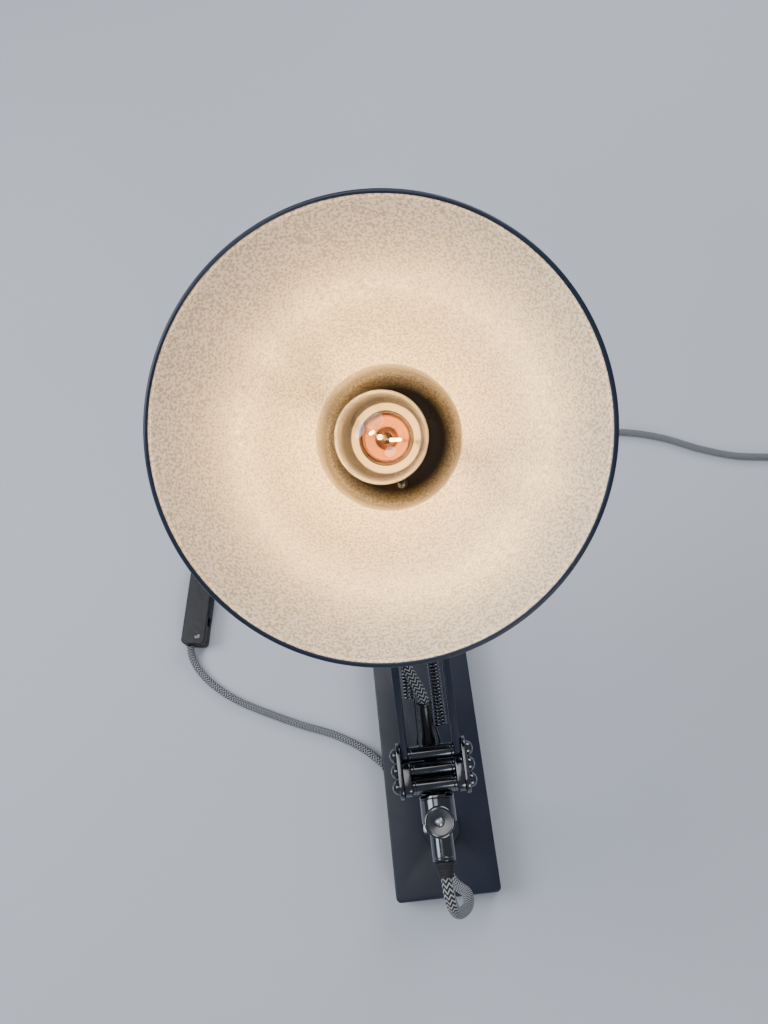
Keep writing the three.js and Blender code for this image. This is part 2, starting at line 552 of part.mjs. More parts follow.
// A flat two-pin plug that lies on its side, with its pins away from the coil.
function addPlug() {
  const { length, width, thick, relief, pin } = PLUG;
  const group = new THREE.Group();
  group.position.set(TAIL_X, PLUG_END, 0);
  lamp.add(group);
  const middle = thick / 2;
  const [neck, face] = [-relief, -relief - length];
  const half = width / 2;
  const outline = [[6, neck], [-6, neck], [-half, neck - 13], [-half, face], [half, face],
    [half, neck - 13]];
  const shape = new THREE.Shape(outline.map(([px, py]) => new THREE.Vector2(px, py)));
  const edge = 1.5;
  const body = new THREE.ExtrudeGeometry(shape, { depth: thick - 2 * edge, bevelThickness: edge,
    bevelSize: edge, bevelOffset: -edge, bevelSegments: 2 }).translate(0, 0, edge);
  const cone = rod(V(0, 0, middle), V(0, neck - 2, middle), 4.1, 5.8);
  const cordHole = rod(V(0, 1, middle), V(0, -12, middle), 3.55);
  const sockets = [-1, 1].map((side) => rod(V(side * 9.5, face - 1, middle),
    V(side * 9.5, face + 8, middle), 2.2 + GAP));
  piece('plug_body', carve([body, cone], [cordHole, ...sockets]), PLASTIC, group);
  for (const [side, sign] of [['left', 1], ['right', -1]]) {
    const prong = rod(V(sign * 9.5, face + 7.7, middle), V(sign * 9.5, face - pin, middle), 2, 2, 12);
    piece(`plug_pin_${side}`, prong, STEEL, group);
  }
}

addBase();
addSocket();
const post = new THREE.Group();
post.position.set(0, COLUMN_Y, 0);
lamp.add(post);
addColumn(post);
addTee(post);
piece('loop_cord', cordTube(LOOP_ROUTE, 20), BRAID, post);
addElbow(lamp);
addBoot(lamp);

const arm = new THREE.Group();
arm.position.copy(UPPER_PIVOT);
arm.rotation.x = ARM_RAISE;
lamp.add(arm);
addBars(arm, 'upper');
addBrace(arm);
piece('arm_cord', cordTube(ARM_ROUTE, 12), BRAID);
const link = new THREE.Group();
link.position.copy(lowerPivot);
link.rotation.x = ARM_RAISE;
lamp.add(link);
addBars(link, 'lower');
addSprings(link);

addBracket();
piece('head_cord', cordTube(HEAD_ROUTE, 12), BRAID);
const head = new THREE.Group();
head.position.copy(TILT_PIVOT).add(V(STEM_X, 0, 0));
head.rotation.set(SHADE_BACK, SHADE_LEAN, 0);
lamp.add(head);
addHead(head);

piece('lead_to_switch', cordTube(BASE_TO_SWITCH, 15), BRAID);
addSwitch();
piece('lead_to_coil', cordTube(SWITCH_TO_COIL, 44), BRAID);
addCoil();
piece('lead_to_plug', cordTube(COIL_TO_PLUG, 3), BRAID);
addPlug();

export default lamp;
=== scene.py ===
"""The looks of an architect desk lamp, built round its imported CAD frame.

A piece is drawn in millimetres in axes of its own, and add() puts it in the row frame, in metres.
A cord's route is a list of points of the row frame, in metres.
"""

import json
from math import atan2, copysign, cos, degrees, exp, pi, radians, sin, tan

import bmesh
import bpy
from mathutils import Matrix, Vector
from mathutils.geometry import tessellate_polygon


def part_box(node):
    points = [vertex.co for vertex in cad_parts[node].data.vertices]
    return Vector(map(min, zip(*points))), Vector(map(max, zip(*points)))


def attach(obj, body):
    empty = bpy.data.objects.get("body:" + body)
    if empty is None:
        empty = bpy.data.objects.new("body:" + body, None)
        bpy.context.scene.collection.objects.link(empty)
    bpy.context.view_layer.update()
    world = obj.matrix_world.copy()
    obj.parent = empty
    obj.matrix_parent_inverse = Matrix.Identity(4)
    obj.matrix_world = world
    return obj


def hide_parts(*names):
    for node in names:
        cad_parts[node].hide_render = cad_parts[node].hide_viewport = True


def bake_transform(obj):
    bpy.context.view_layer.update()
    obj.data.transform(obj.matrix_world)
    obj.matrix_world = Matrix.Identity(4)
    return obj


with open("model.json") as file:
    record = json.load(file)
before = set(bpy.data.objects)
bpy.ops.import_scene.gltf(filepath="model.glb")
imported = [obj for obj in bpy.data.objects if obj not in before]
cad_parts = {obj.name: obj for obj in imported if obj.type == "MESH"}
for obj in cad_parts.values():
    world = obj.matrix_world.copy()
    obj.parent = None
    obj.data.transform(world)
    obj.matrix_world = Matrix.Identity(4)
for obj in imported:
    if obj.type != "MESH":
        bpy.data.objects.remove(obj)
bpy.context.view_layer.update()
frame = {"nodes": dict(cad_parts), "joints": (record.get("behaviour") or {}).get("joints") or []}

MM = 0.001
GAP = 0.3  # between pieces that touch, in millimetres


# ---- Places, from the frame ----
def box_mm(node):
    low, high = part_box(node)
    return low / MM, high / MM


joints = {joint["name"]: joint for joint in frame["joints"]}


def joint_mm(name):
    return Vector(joints[name]["pos_m"]) / MM


shift = Matrix.Translation


def turn(degrees, axis):
    return Matrix.Rotation(radians(degrees), 4, axis)


COLUMN = joint_mm("base_swivel")
ELBOW = joint_mm("arm_tilt")
LOWER = joint_mm("link_tilt")
FAR = joint_mm("bracket_level")
TILT = joint_mm("head_tilt")
FAR_LOWER = FAR + LOWER - ELBOW
RAISE = degrees(atan2(FAR.z - ELBOW.z, FAR.y - ELBOW.y))
ARM_LENGTH = (FAR - ELBOW).length

# Drawing axes: a piece turned or cut flat about its own +Z, laid across the lamp or along +Y.
ACROSS = Matrix(((0, 0, 1, 0), (1, 0, 0, 0), (0, 1, 0, 0), (0, 0, 0, 1)))
ALONG = turn(-90, "X")
POST = shift((0, COLUMN.y, 0))
ARM = shift(ELBOW) @ turn(RAISE, "X")
LINK = shift(LOWER) @ turn(RAISE, "X")

SHADE_BACK = 27.2
SHADE_LEAN = -3.0
HOLDER_LEAN = -1.8
STEM_X = 3.0  # from the middle of the bracket to the shade's stem
HOLDER_BOTTOM = 41.6
HEAD = (shift(TILT + Vector((STEM_X, 0, 0))) @ turn(SHADE_BACK, "X")
        @ turn(SHADE_LEAN, "Y"))
LAMPS = (HEAD @ shift((0, 0, HOLDER_BOTTOM)) @ turn(HOLDER_LEAN, "Y")
         @ shift((0, 0, -HOLDER_BOTTOM)))

SWITCH_END = Vector((-205.5, 115.5, 0))
SWITCH_TURN = -8.4
SWITCH_LENGTH = 90
SWITCH = shift(SWITCH_END) @ turn(SWITCH_TURN, "Z")

TEE_Z = 233
LOOP_Z = 150
PLATE_IN, PLATE_OUT = (corner.x for corner in box_mm("bracket_right"))
BAR_IN, BAR_OUT = (corner.x for corner in box_mm("upper_bar_right"))


def link(made):
    bpy.context.scene.collection.objects.link(made)


# ---- Camera ----
def add_camera():
    """Almost straight above the elbow, looking down and a little forwards."""
    data = bpy.data.cameras.new("camera")
    data.sensor_width = 36
    data.lens = 27.03
    camera = bpy.data.objects.new("camera", data)
    right = Vector((0.992, -0.1052, -0.0692)).normalized()
    back = Vector((0.0219, -0.3968, 0.9177)).normalized()
    up = back.cross(right).normalized()
    right = up.cross(back)
    rotation = Matrix((right, up, back)).transposed().to_4x4()
    camera.matrix_world = shift((0, -0.073, 0.700)) @ rotation
    link(camera)
    bpy.context.scene.camera = camera


# ---- Materials ----
class Look:
    """A procedural material on a Principled shader, in the object's own coordinates."""

    def __init__(self, name, colour, roughness, metallic=0.0, **sockets):
        self.material = bpy.data.materials.new(name)
        self.material.use_nodes = True
        self.nodes = self.material.node_tree.nodes
        self.links = self.material.node_tree.links
        self.shader = self.nodes["Principled BSDF"]
        self.colour = (*colour, 1.0)
        self.put("Base Color", self.colour)
        self.put("Roughness", roughness)
        self.put("Metallic", metallic)
        for socket, value in sockets.items():
            self.put(socket.replace("_", " ").title().replace("Ior", "IOR"), value)
        self.place = self.node("TexCoord").outputs["Object"]

    def put(self, socket, value):
        self.shader.inputs[socket].default_value = value

    def join(self, out, socket):
        self.links.new(out, socket)

    def feed(self, socket, value):
        if isinstance(value, bpy.types.NodeSocket):
            self.join(value, socket)
        else:
            socket.default_value = value

    def node(self, kind, **inputs):
        """A new shader node, each input set to a value or joined to another node's output."""
        node = self.nodes.new("ShaderNode" + kind)
        for name, value in inputs.items():
            self.feed(node.inputs[name.replace("_", " ")], value)
        return node

    def maths(self, operation, a, b=0.0, c=0.0):
        node = self.node("Math")
        node.operation = operation
        for socket, value in zip(node.inputs, (a, b, c)):
            self.feed(socket, value)
        return node.outputs[0]

    def noise(self, scale, detail=2.0, stretch=None):
        place = self.place
        if stretch:
            place = self.node("Mapping", Scale=stretch, Vector=place).outputs[0]
        return self.node("TexNoise", Scale=scale, Detail=detail, Vector=place).outputs[0]

    def between(self, factor, low, high, start=0.3, end=0.7):
        return self.node("MapRange", Value=factor, From_Min=start, From_Max=end, To_Min=low,
                         To_Max=high).outputs[0]

    def mix(self, factor, first, second):
        node = self.node("Mix")
        node.data_type = "RGBA"
        self.feed(node.inputs["Factor"], factor)
        for name, value in (("A", first), ("B", second)):
            self.feed(node.inputs[name], (*value[:3], 1.0) if isinstance(value, tuple) else value)
        return node.outputs["Result"]

    def tint(self, factor, other):
        self.join(self.mix(factor, self.colour, other), self.shader.inputs["Base Color"])

    def vary_roughness(self, factor, low, high):
        self.join(self.between(factor, low, high), self.shader.inputs["Roughness"])

    def bump(self, height, distance, strength=1.0):
        """Adds relief of the given depth in millimetres, on top of what is there."""
        node = self.node("Bump", Distance=distance * MM, Strength=strength, Height=height)
        socket = self.shader.inputs["Normal"]
        if socket.is_linked:
            self.join(socket.links[0].from_socket, node.inputs["Normal"])
        self.join(node.outputs[0], socket)


def paint(name, colour, roughness=0.36):
    """Satin powder coat: a fine orange peel, with clouds in its tone and gloss."""
    look = Look(name, colour, roughness)
    lighter = tuple(1.5 * part + 0.002 for part in colour)
    look.tint(look.between(look.noise(14, 4), 0.0, 0.6), lighter)
    look.vary_roughness(look.noise(60, 3), roughness - 0.06, roughness + 0.08)
    look.bump(look.noise(1300, 2), 0.05, 0.35)
    look.bump(look.noise(260, 1), 0.10, 0.12)
    return look.material


def enamel():
    """Warm white enamel inside the shade: a fine speckle of painted glints in its tone and a soft orange
    peel. Towards the cup's floor it fades to near black, painted shade where the lampholder's shadow falls."""
    look = Look("enamel", (0.54, 0.46, 0.35), 0.33)
    # Painted glints: a fine speckle of bright cream in the tone stands in for the bulb's glints on the
    # orange peel.
    painted_glints = look.between(look.noise(850, 1), 0.0, 1.0, 0.38, 0.58)
    cream = look.mix(painted_glints, look.colour, (0.98, 0.90, 0.76))
    # Painted shade: along the shade's axis the colour fades to near black towards the cup's floor, where
    # the lampholder's shadow falls, with a soft painted penumbra.
    height = look.node("VectorMath")
    height.operation = "DOT_PRODUCT"
    axis = (HEAD.to_3x3() @ Vector((0, 0, 1))).normalized()
    height.inputs[1].default_value = axis
    look.join(look.place, height.inputs[0])
    foot = HEAD.translation.dot(axis) * MM
    clear_of_painted_shade = look.between(height.outputs["Value"], 0.0, 1.0, foot + 0.0408, foot + 0.0475)
    look.join(look.mix(clear_of_painted_shade, (0.012, 0.013, 0.016), cream), look.shader.inputs["Base Color"])
    look.vary_roughness(look.noise(500, 2), 0.27, 0.41)
    look.bump(look.noise(1250, 2), 0.08, 0.5)
    look.bump(look.noise(380, 1), 0.12, 0.2)
    return look.material


def metal(name, colour, roughness, scratch=0.25):
    """Plated or plain metal: fine rubbing marks along it, and clouds in its gloss."""
    look = Look(name, colour, roughness, 1.0)
    look.tint(look.between(look.noise(90, 3), 0.0, 0.5), tuple(0.7 * part for part in colour))
    look.vary_roughness(look.noise(140, 4), roughness * 0.7, roughness * 1.5)
    look.bump(look.noise(1600, 1, (1.0, 0.05, 1.0)), 0.01, scratch)
    return look.material


def plastic(name, colour, roughness, grain=0.3):
    look = Look(name, colour, roughness)
    look.tint(look.between(look.noise(35, 2), 0.0, 0.5), tuple(1.6 * part for part in colour))
    look.vary_roughness(look.noise(220, 3), roughness - 0.07, roughness + 0.07)
    look.bump(look.noise(2100, 2), 0.04, grain)
    return look.material


def felt():
    look = Look("felt", (0.02, 0.02, 0.022), 0.95, sheen_weight=0.3)
    look.tint(look.between(look.noise(900, 4), 0.0, 1.0), (0.045, 0.045, 0.05))
    look.bump(look.noise(1500, 3), 0.25, 0.8)
    return look.material


BRAID_PITCH = 2.6  # one dark and one light zigzag line, along the cord
BRAID_WAVES = 6  # zigzags round the cord
BRAID_RISE = 0.8  # how far a zigzag climbs, in pitches
CARRIERS = 12
YARN_PITCH = 1.75


def braid():
    """Textile cover: light and dark zigzags, over the relief of the crossing yarns."""
    look = Look("braid", (0.010, 0.010, 0.012), 0.88, sheen_weight=0.15)
    uv = look.node("UVMap")
    uv.uv_map = "Cord"
    parts = look.node("SeparateXYZ")
    look.join(uv.outputs[0], parts.inputs[0])
    around, along = parts.outputs[0], parts.outputs[1]
    zigzag = look.maths("PINGPONG", look.maths("MULTIPLY", around, 2 * BRAID_WAVES), 1.0)
    climb = look.maths("MULTIPLY_ADD", zigzag, BRAID_RISE, look.maths("DIVIDE", along, BRAID_PITCH))
    stripe = look.maths("PINGPONG", climb, 0.5)
    light = look.between(stripe, 0.0, 1.0, 0.29, 0.34)
    fuzz = look.noise(2600, 2)
    pale = look.mix(look.between(fuzz, 0.0, 1.0), (0.34, 0.35, 0.37), (0.68, 0.68, 0.68))
    dark = look.mix(look.between(fuzz, 0.0, 1.0), (0.006, 0.006, 0.008), (0.03, 0.03, 0.034))
    look.join(look.mix(light, dark, pale), look.shader.inputs["Base Color"])
    turns = look.maths("MULTIPLY", around, CARRIERS)
    steps = look.maths("DIVIDE", along, YARN_PITCH)
    right = look.maths("PINGPONG", look.maths("ADD", turns, steps), 0.5)
    left = look.maths("PINGPONG", look.maths("SUBTRACT", turns, steps), 0.5)
    yarn = look.maths("MAXIMUM", right, left)
    look.bump(yarn, 0.9, 0.7)
    look.bump(fuzz, 0.12, 0.4)
    return look.material


def glass(name="clear_glass"):
    """Thin clear glass that lets the bulb's light out."""
    look = Look(name, (1.0, 0.985, 0.955), 0.015, transmission_weight=1.0, ior=1.45)
    path = look.node("LightPath")
    clear = look.node("BsdfTransparent")
    clear.inputs["Color"].default_value = (0.97, 0.95, 0.92, 1.0)
    mix = look.node("MixShader")
    look.join(path.outputs["Is Shadow Ray"], mix.inputs[0])
    look.join(look.shader.outputs[0], mix.inputs[1])
    look.join(clear.outputs[0], mix.inputs[2])
    output = next(node for node in look.nodes if node.type == "OUTPUT_MATERIAL")
    look.join(mix.outputs[0], output.inputs["Surface"])
    return look.material


def glow():
    look = Look("filament_glow", (1.0, 0.8, 0.5), 0.6, emission_color=(1.0, 0.72, 0.30, 1.0),
                emission_strength=22.0)
    return look.material


NAVY = paint("navy_paint", (0.010, 0.014, 0.026))
SHADE_NAVY = paint("shade_paint", (0.010, 0.016, 0.034), 0.32)
ENAMEL = enamel()
NICKEL = metal("black_nickel", (0.13, 0.134, 0.145), 0.13)
STEEL = metal("bright_steel", (0.56, 0.57, 0.60), 0.24)
SPRING_STEEL = metal("spring_steel", (0.16, 0.165, 0.18), 0.2)
BRASS = metal("cap_brass", (0.66, 0.42, 0.20), 0.26)
COPPER = metal("inner_copper", (0.12, 0.045, 0.016), 0.30)
PLASTIC = plastic("black_plastic", (0.010, 0.010, 0.011), 0.5)
GLOSS_PLASTIC = plastic("gloss_plastic", (0.009, 0.009, 0.010), 0.22, 0.08)
RUBBER = plastic("black_rubber", (0.012, 0.012, 0.013), 0.68, 0.5)
CERAMIC = plastic("cream_ceramic", (0.50, 0.40, 0.25), 0.30, 0.1)
FELT = felt()
BRAID = braid()
GLASS = glass()
GLOW = glow()


# ---- Drawing, in millimetres ----
def mesh_from(verts, faces):
    mesh = bpy.data.meshes.new("drawing")
    mesh.from_pydata([tuple(v) for v in verts], [], faces)
    shape = bmesh.new()
    shape.from_mesh(mesh)
    bmesh.ops.recalc_face_normals(shape, faces=shape.faces)
    shape.to_mesh(mesh)
    shape.free()
    return mesh


def rounded(points, radius=0.4, steps=4, closed=False):
    """The outline with each corner rounded; a third number on a point is its own radius."""
    made = []
    count = len(points)
    for i, point in enumerate(points):
        here = Vector(point[:2])
        size = point[2] if len(point) > 2 else radius
        before = Vector(points[i - 1][:2]) - here
        after = Vector(points[(i + 1) % count][:2]) - here
        at_end = not closed and i in (0, count - 1)
        if at_end or size == 0 or before.angle(after) > pi - 0.03:
            made.append(here)
            continue
        half = before.angle(after) / 2
        reach = min(size / tan(half), 0.49 * min(before.length, after.length))
        centre = here + (before.normalized() + after.normalized()).normalized() * reach / cos(half)
        first = here + before.normalized() * reach - centre
        last = here + after.normalized() * reach - centre
        start = atan2(first.y, first.x)
        sweep = (atan2(last.y, last.x) - start + pi) % (2 * pi) - pi
        for k in range(steps + 1):
            angle = start + sweep * k / steps
            made.append(centre + first.length * Vector((cos(angle), sin(angle))))
    return made


def turned(outline, segments=96, closed=False, flutes=None):
    """Turns an outline of (radius, height) points about +Z. flutes(angle, radius, height) may vary
    the radius round the piece."""
    verts, rings = [], []
    for radius, height in outline:
        if radius < 1e-6:
            rings.append([len(verts)] * segments)
            verts.append((0, 0, height))
            continue
        rings.append(list(range(len(verts), len(verts) + segments)))
        for i in range(segments):
            angle = 2 * pi * i / segments
            size = flutes(angle, radius, height) if flutes else radius
            verts.append((size * cos(angle), size * sin(angle), height))
    faces = []
    for low, high in zip(rings, rings[1:] + (rings[:1] if closed else [])):
        for i in range(segments):
            j = (i + 1) % segments
            corners = list(dict.fromkeys((low[i], low[j], high[j], high[i])))
            if len(corners) > 2:
                faces.append(corners)
    return mesh_from(verts, faces)


def lathe(outline, corner, steps=4, segments=96, closed=False, flutes=None):
    """An outline with rounded corners, turned about +Z."""
    return turned(rounded(outline, corner, steps, closed), segments, closed, flutes)


def rod(start, end, radius, segments=48):
    """A plain round bar between two points, for cutting."""
    start, end = Vector(start), Vector(end)
    mesh = turned([(0, 0), (radius, 0), (radius, (end - start).length), (0, (end - start).length)],
                  segments)
    turned_to = (end - start).to_track_quat("Z", "Y").to_matrix().to_4x4()
    mesh.transform(shift(start) @ turned_to)
    return mesh


def block(low, high):
    """A plain box, for cutting."""
    (x0, y0, z0), (x1, y1, z1) = low, high
    verts = [(x, y, z) for z in (z0, z1) for x, y in ((x0, y0), (x1, y0), (x1, y1), (x0, y1))]
    faces = [(0, 1, 2, 3), (4, 5, 6, 7), (0, 1, 5, 4), (1, 2, 6, 5), (2, 3, 7, 6), (3, 0, 4, 7)]
    return mesh_from(verts, faces)


def circle(x, y, radius, steps=40):
    """A hole's outline: clockwise, as slab() wants it."""
    angles = [-2 * pi * i / steps for i in range(steps)]
    return [Vector((x + radius * cos(a), y + radius * sin(a))) for a in angles]


def round_outline(corners, radius, steps=10):
    """The outline of a flat plate whose corners are arcs about the points, anticlockwise."""
    made = []
    for i, (x, y) in enumerate(corners):
        px, py = corners[i - 1]
        nx, ny = corners[(i + 1) % len(corners)]
        start = atan2(y - py, x - px) - pi / 2
        sweep = (atan2(ny - y, nx - x) - pi / 2 - start) % (2 * pi)
        for k in range(steps + 1):
            angle = start + sweep * k / steps
            made.append(Vector((x + radius * cos(angle), y + radius * sin(angle))))
    return made


def rectangle(width, length, corner, steps=8):
    w, l = width / 2 - corner, length / 2 - corner
    return round_outline([(w, -l), (w, l), (-w, l), (-w, -l)], corner, steps)


def inset(loop, amount):
    """A loop moved to its left, which is into the material for an outline and for a hole alike."""
    made = []
    for i, here in enumerate(loop):
        before = (here - loop[i - 1]).normalized()
        after = (loop[(i + 1) % len(loop)] - here).normalized()
        side = Vector((-before.y, before.x))
        normal = (side + Vector((-after.y, after.x))).normalized()
        made.append(here + normal * amount / max(0.5, normal.dot(side)))
    return made


def slab(loops, bottom, top, edge=0.5, steps=3):
    """A flat piece with its outline first and its holes after it, and softly rounded edges."""
    arcs = [pi / 2 * k / steps for k in range(steps + 1)]
    low = [(edge * (1 - sin(a)), bottom + edge * (1 - cos(a))) for a in arcs]
    levels = low + [(amount, top - (height - bottom)) for amount, height in reversed(low)]
    verts, rings = [], []
    for amount, height in levels:
        for loop in loops:
            rings.append(range(len(verts), len(verts) + len(loop)))
            verts += [(*point, height) for point in inset(loop, amount)]
    faces = []
    for level in range(len(levels) - 1):
        for k in range(len(loops)):
            under, over = rings[level * len(loops) + k], rings[(level + 1) * len(loops) + k]
            for i in range(len(under)):
                j = (i + 1) % len(under)
                faces.append((under[i], under[j], over[j], over[i]))
    flat = [[Vector(verts[i]) for i in ring] for ring in rings[:len(loops)]]
    upper = rings[(len(levels) - 1) * len(loops)][0]
    for a, b, c in tessellate_polygon(flat):
        faces += [(c, b, a), (upper + a, upper + b, upper + c)]
    return mesh_from(verts, faces)


def swept(points, radius, sides=20):
    """A round tube along the points, in millimetres, with a UV map: turns round it, and millimetres
    along it. radius may be a function of the distance along it."""
    size = radius if callable(radius) else lambda _: radius
    ahead = [(points[min(i + 1, len(points) - 1)] - points[max(i - 1, 0)]).normalized()
             for i in range(len(points))]
    side = ahead[0].orthogonal().normalized()
    verts, walked = [], []
    distance = 0.0
    for i, here in enumerate(points):
        distance += (here - points[i - 1]).length if i else 0.0
        walked.append(distance)
        side = (side - ahead[i] * side.dot(ahead[i])).normalized()
        other = ahead[i].cross(side)
        for k in range(sides):
            angle = 2 * pi * k / sides
            verts.append(here + size(distance) * (side * cos(angle) + other * sin(angle)))
    faces, uvs = [], []
    for i in range(len(points) - 1):
        for k in range(sides):
            j = (k + 1) % sides
            faces.append((i * sides + k, i * sides + j, (i + 1) * sides + j, (i + 1) * sides + k))
            u0, u1 = k / sides, (k + 1) / sides
            uvs += [(u0, walked[i]), (u1, walked[i]), (u1, walked[i + 1]), (u0, walked[i + 1])]
    faces.append(tuple(reversed(range(sides))))
    faces.append(tuple(range((len(points) - 1) * sides, len(points) * sides)))
    uvs += [(0, 0)] * sides + [(0, walked[-1])] * sides
    mesh = bpy.data.meshes.new("drawing")
    mesh.from_pydata([tuple(v) for v in verts], [], faces)
    layer = mesh.uv_layers.new(name="Cord")
    for corner, uv in zip(layer.data, uvs):
        corner.uv = uv
    return mesh


def smooth(points, step):
    """Points about one step apart on a centripetal Catmull-Rom curve through the given ones."""
    first = points[0] * 2 - points[1]
    last = points[-1] * 2 - points[-2]
    held = [first, *points, last]
    made = []
    for a, b, c, d in zip(held, held[1:], held[2:], held[3:]):
        t1 = (b - a).length ** 0.5
        t2 = t1 + (c - b).length ** 0.5
        t3 = t2 + (d - c).length ** 0.5
        count = max(1, round((c - b).length / step))
        for k in range(count):
            t = t1 + (t2 - t1) * k / count
            a1 = a.lerp(b, t / t1)
            a2 = b.lerp(c, (t - t1) / (t2 - t1))
            a3 = c.lerp(d, (t - t2) / (t3 - t2))
            b1 = a1.lerp(a2, t / t2)
            b2 = a2.lerp(a3, (t - t1) / (t3 - t1))
            made.append(b1.lerp(b2, (t - t1) / (t2 - t1)))
    return [*made, points[-1].copy()]


def length_of(points):
    return sum((b - a).length for a, b in zip(points, points[1:]))


def carved(body, tools, operation="DIFFERENCE"):
    """The body with every tool cut from it, or joined to it."""
    for tool in tools:
        host = bpy.data.objects.new("host", body)
        other = bpy.data.objects.new("tool", tool)
        for made in (host, other):
            link(made)
        step = host.modifiers.new("boolean", "BOOLEAN")
        step.object = other
        step.operation = operation
        step.solver = "EXACT"
        depsgraph = bpy.context.evaluated_depsgraph_get()
        body = bpy.data.meshes.new_from_object(host.evaluated_get(depsgraph))
        for made in (host, other):
            bpy.data.objects.remove(made)
    return body


def together(*meshes):
    """One mesh of several separate ones."""
    shape = bmesh.new()
    for mesh in meshes:
        shape.from_mesh(mesh)
    made = bpy.data.meshes.new("drawing")
    shape.to_mesh(made)
    shape.free()
    return made


def moved(mesh, *matrices):
    for matrix in matrices:
        mesh.transform(matrix)
    return mesh


def add(name, mesh, look, body, place=None, stands_for=(), crease=32):
    """Puts a drawn piece in the row frame, with its looks as its materials, on its body if one is given,
    and hides the CAD parts it stands for."""
    mesh.transform(Matrix.Scale(MM, 4) @ (place or Matrix()))
    mesh.name = name
    mesh.shade_smooth()
    mesh.set_sharp_from_angle(angle=radians(crease))
    made = bpy.data.objects.new(name, mesh)
    link(made)
    looks = look if isinstance(look, list) else [look]
    for each in looks:
        mesh.materials.append(each)
    if body:
        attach(made, body)
    if stands_for:
        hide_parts(*stands_for)
    return made


# ---- Cords ----
CORD_R = 3.25
ON_TABLE = 0.0033
BASE_TO_SWITCH = [
    (-0.0408, -0.0094, 0.009), (-0.0452, -0.005, 0.0087), (-0.050, -0.0004, 0.0076),
    (-0.056, 0.0048, 0.0059), (-0.0647, 0.0113, 0.0042), (-0.0745, 0.0171, ON_TABLE),
    (-0.084, 0.0222, ON_TABLE), (-0.095, 0.0268, ON_TABLE), (-0.111, 0.0332, ON_TABLE),
    (-0.128, 0.0409, ON_TABLE), (-0.147, 0.0502, ON_TABLE), (-0.167, 0.0609, ON_TABLE),
    (-0.1845, 0.0736, ON_TABLE), (-0.1976, 0.0864, 0.0036), (-0.2052, 0.0978, 0.0052),
    (-0.2086, 0.1076, 0.0071), (-0.2091, 0.1154, 0.0086),
]
SWITCH_TO_COIL = [
    (-0.1957, 0.2054, 0.0086), (-0.192, 0.216, 0.007), (-0.1875, 0.229, 0.0042),
    (-0.178, 0.245, ON_TABLE), (-0.160, 0.259, ON_TABLE), (-0.136, 0.268, ON_TABLE),
    (-0.106, 0.272, ON_TABLE), (-0.072, 0.271, ON_TABLE), (-0.036, 0.268, ON_TABLE),
    (0.002, 0.266, ON_TABLE), (0.042, 0.268, ON_TABLE), (0.084, 0.273, ON_TABLE),
    (0.126, 0.279, ON_TABLE), (0.166, 0.284, ON_TABLE), (0.200, 0.286, ON_TABLE),
    (0.232, 0.2828, ON_TABLE), (0.267, 0.2716, ON_TABLE), (0.302, 0.2536, ON_TABLE),
    (0.333, 0.2416, ON_TABLE), (0.362, 0.2362, ON_TABLE), (0.376, 0.2336, ON_TABLE),
    (0.3894, 0.2324, ON_TABLE),
]
COIL_TO_PLUG = [
    (0.45725, 0.1635, 0.0075), (0.45725, 0.158, 0.0071), (0.45725, 0.1515, 0.007),
]
LOOP_ROUTE = [
    (0, -0.077, 0.233), (0, -0.084, 0.233), (0, -0.0916, 0.233), (0.0002, -0.0986, 0.2318),
    (0.0009, -0.1048, 0.228), (0.0022, -0.1092, 0.2208), (0.0044, -0.1116, 0.2106),
    (0.0072, -0.1119, 0.200), (0.010, -0.1104, 0.191), (0.0116, -0.1072, 0.1828),
    (0.011, -0.1039, 0.1746), (0.0084, -0.1019, 0.167), (0.0052, -0.0993, 0.1604),
    (0.0023, -0.0944, 0.155), (0.0005, -0.087, 0.1514), (0, -0.0785, 0.150), (0, -0.0705, 0.150),
]
ARM_ROUTE = [
    (-0.0006, -0.005, 0.2398), (-0.0006, 0.0016, 0.2439), (-0.0014, 0.0058, 0.2467),
    (-0.0034, 0.0106, 0.250), (-0.006, 0.0158, 0.254), (-0.0082, 0.0218, 0.2586),
    (-0.0094, 0.0296, 0.2636), (-0.0096, 0.045, 0.271), (-0.0096, 0.060, 0.2785),
    (-0.0097, 0.068, 0.2845), (-0.0099, 0.074, 0.289), (-0.0102, 0.0765, 0.2908),
]
HEAD_ROUTE = [
    (-0.0102, 0.0765, 0.2908), (-0.013, 0.0845, 0.2954), (-0.017, 0.090, 0.2974),
    (-0.021, 0.0955, 0.297), (-0.0236, 0.102, 0.294), (-0.024, 0.112, 0.290),
    (-0.024, 0.124, 0.2873), (-0.0244, 0.135, 0.2856), (-0.025, 0.1452, 0.2842),
]
COIL_CENTRE = Vector((0.415, 0.190, 0))
COIL_MIDDLE = 0.039
COIL_TURNS = 3.25


def in_mm(route):
    return [Vector(point) / MM for point in route]


def coil_route():
    """Clockwise turns: outside below, inside below, inside above, and the last part outside above."""
    radius = CORD_R * MM
    ease = lambda t: t * t * (3 - 2 * t)
    step = lambda t, start: ease(min(1.0, max(0.0, (t - start) / 0.15)))
    made = []
    count = round(COIL_TURNS * 36)
    for i in range(2, count):
        t = COIL_TURNS * i / count
        out = COIL_MIDDLE + radius * (1 - 2 * step(t, 0.85) + 2 * step(t, 2.5))
        height = ON_TABLE + 2 * radius * step(t, 1.7)
        angle = pi / 2 - 2 * pi * t
        made.append(COIL_CENTRE + Vector((out * cos(angle), out * sin(angle), height)))
    return [tuple(point) for point in made]


def add_mains_lead():
    first = smooth(in_mm(BASE_TO_SWITCH), 1.2)
    near = add("lead_near_braid", swept(first, CORD_R, 24), BRAID, "base", stands_for=["lead_to_switch"],
               crease=60)
    second = smooth(in_mm([*SWITCH_TO_COIL, *coil_route(), *COIL_TO_PLUG]), 1.6)
    far = add("lead_far_braid", swept(second, CORD_R, 20), BRAID, "base",
              stands_for=["lead_to_coil", "cord_coil", "lead_to_plug"], crease=60)
    return (near, first), (far, second)


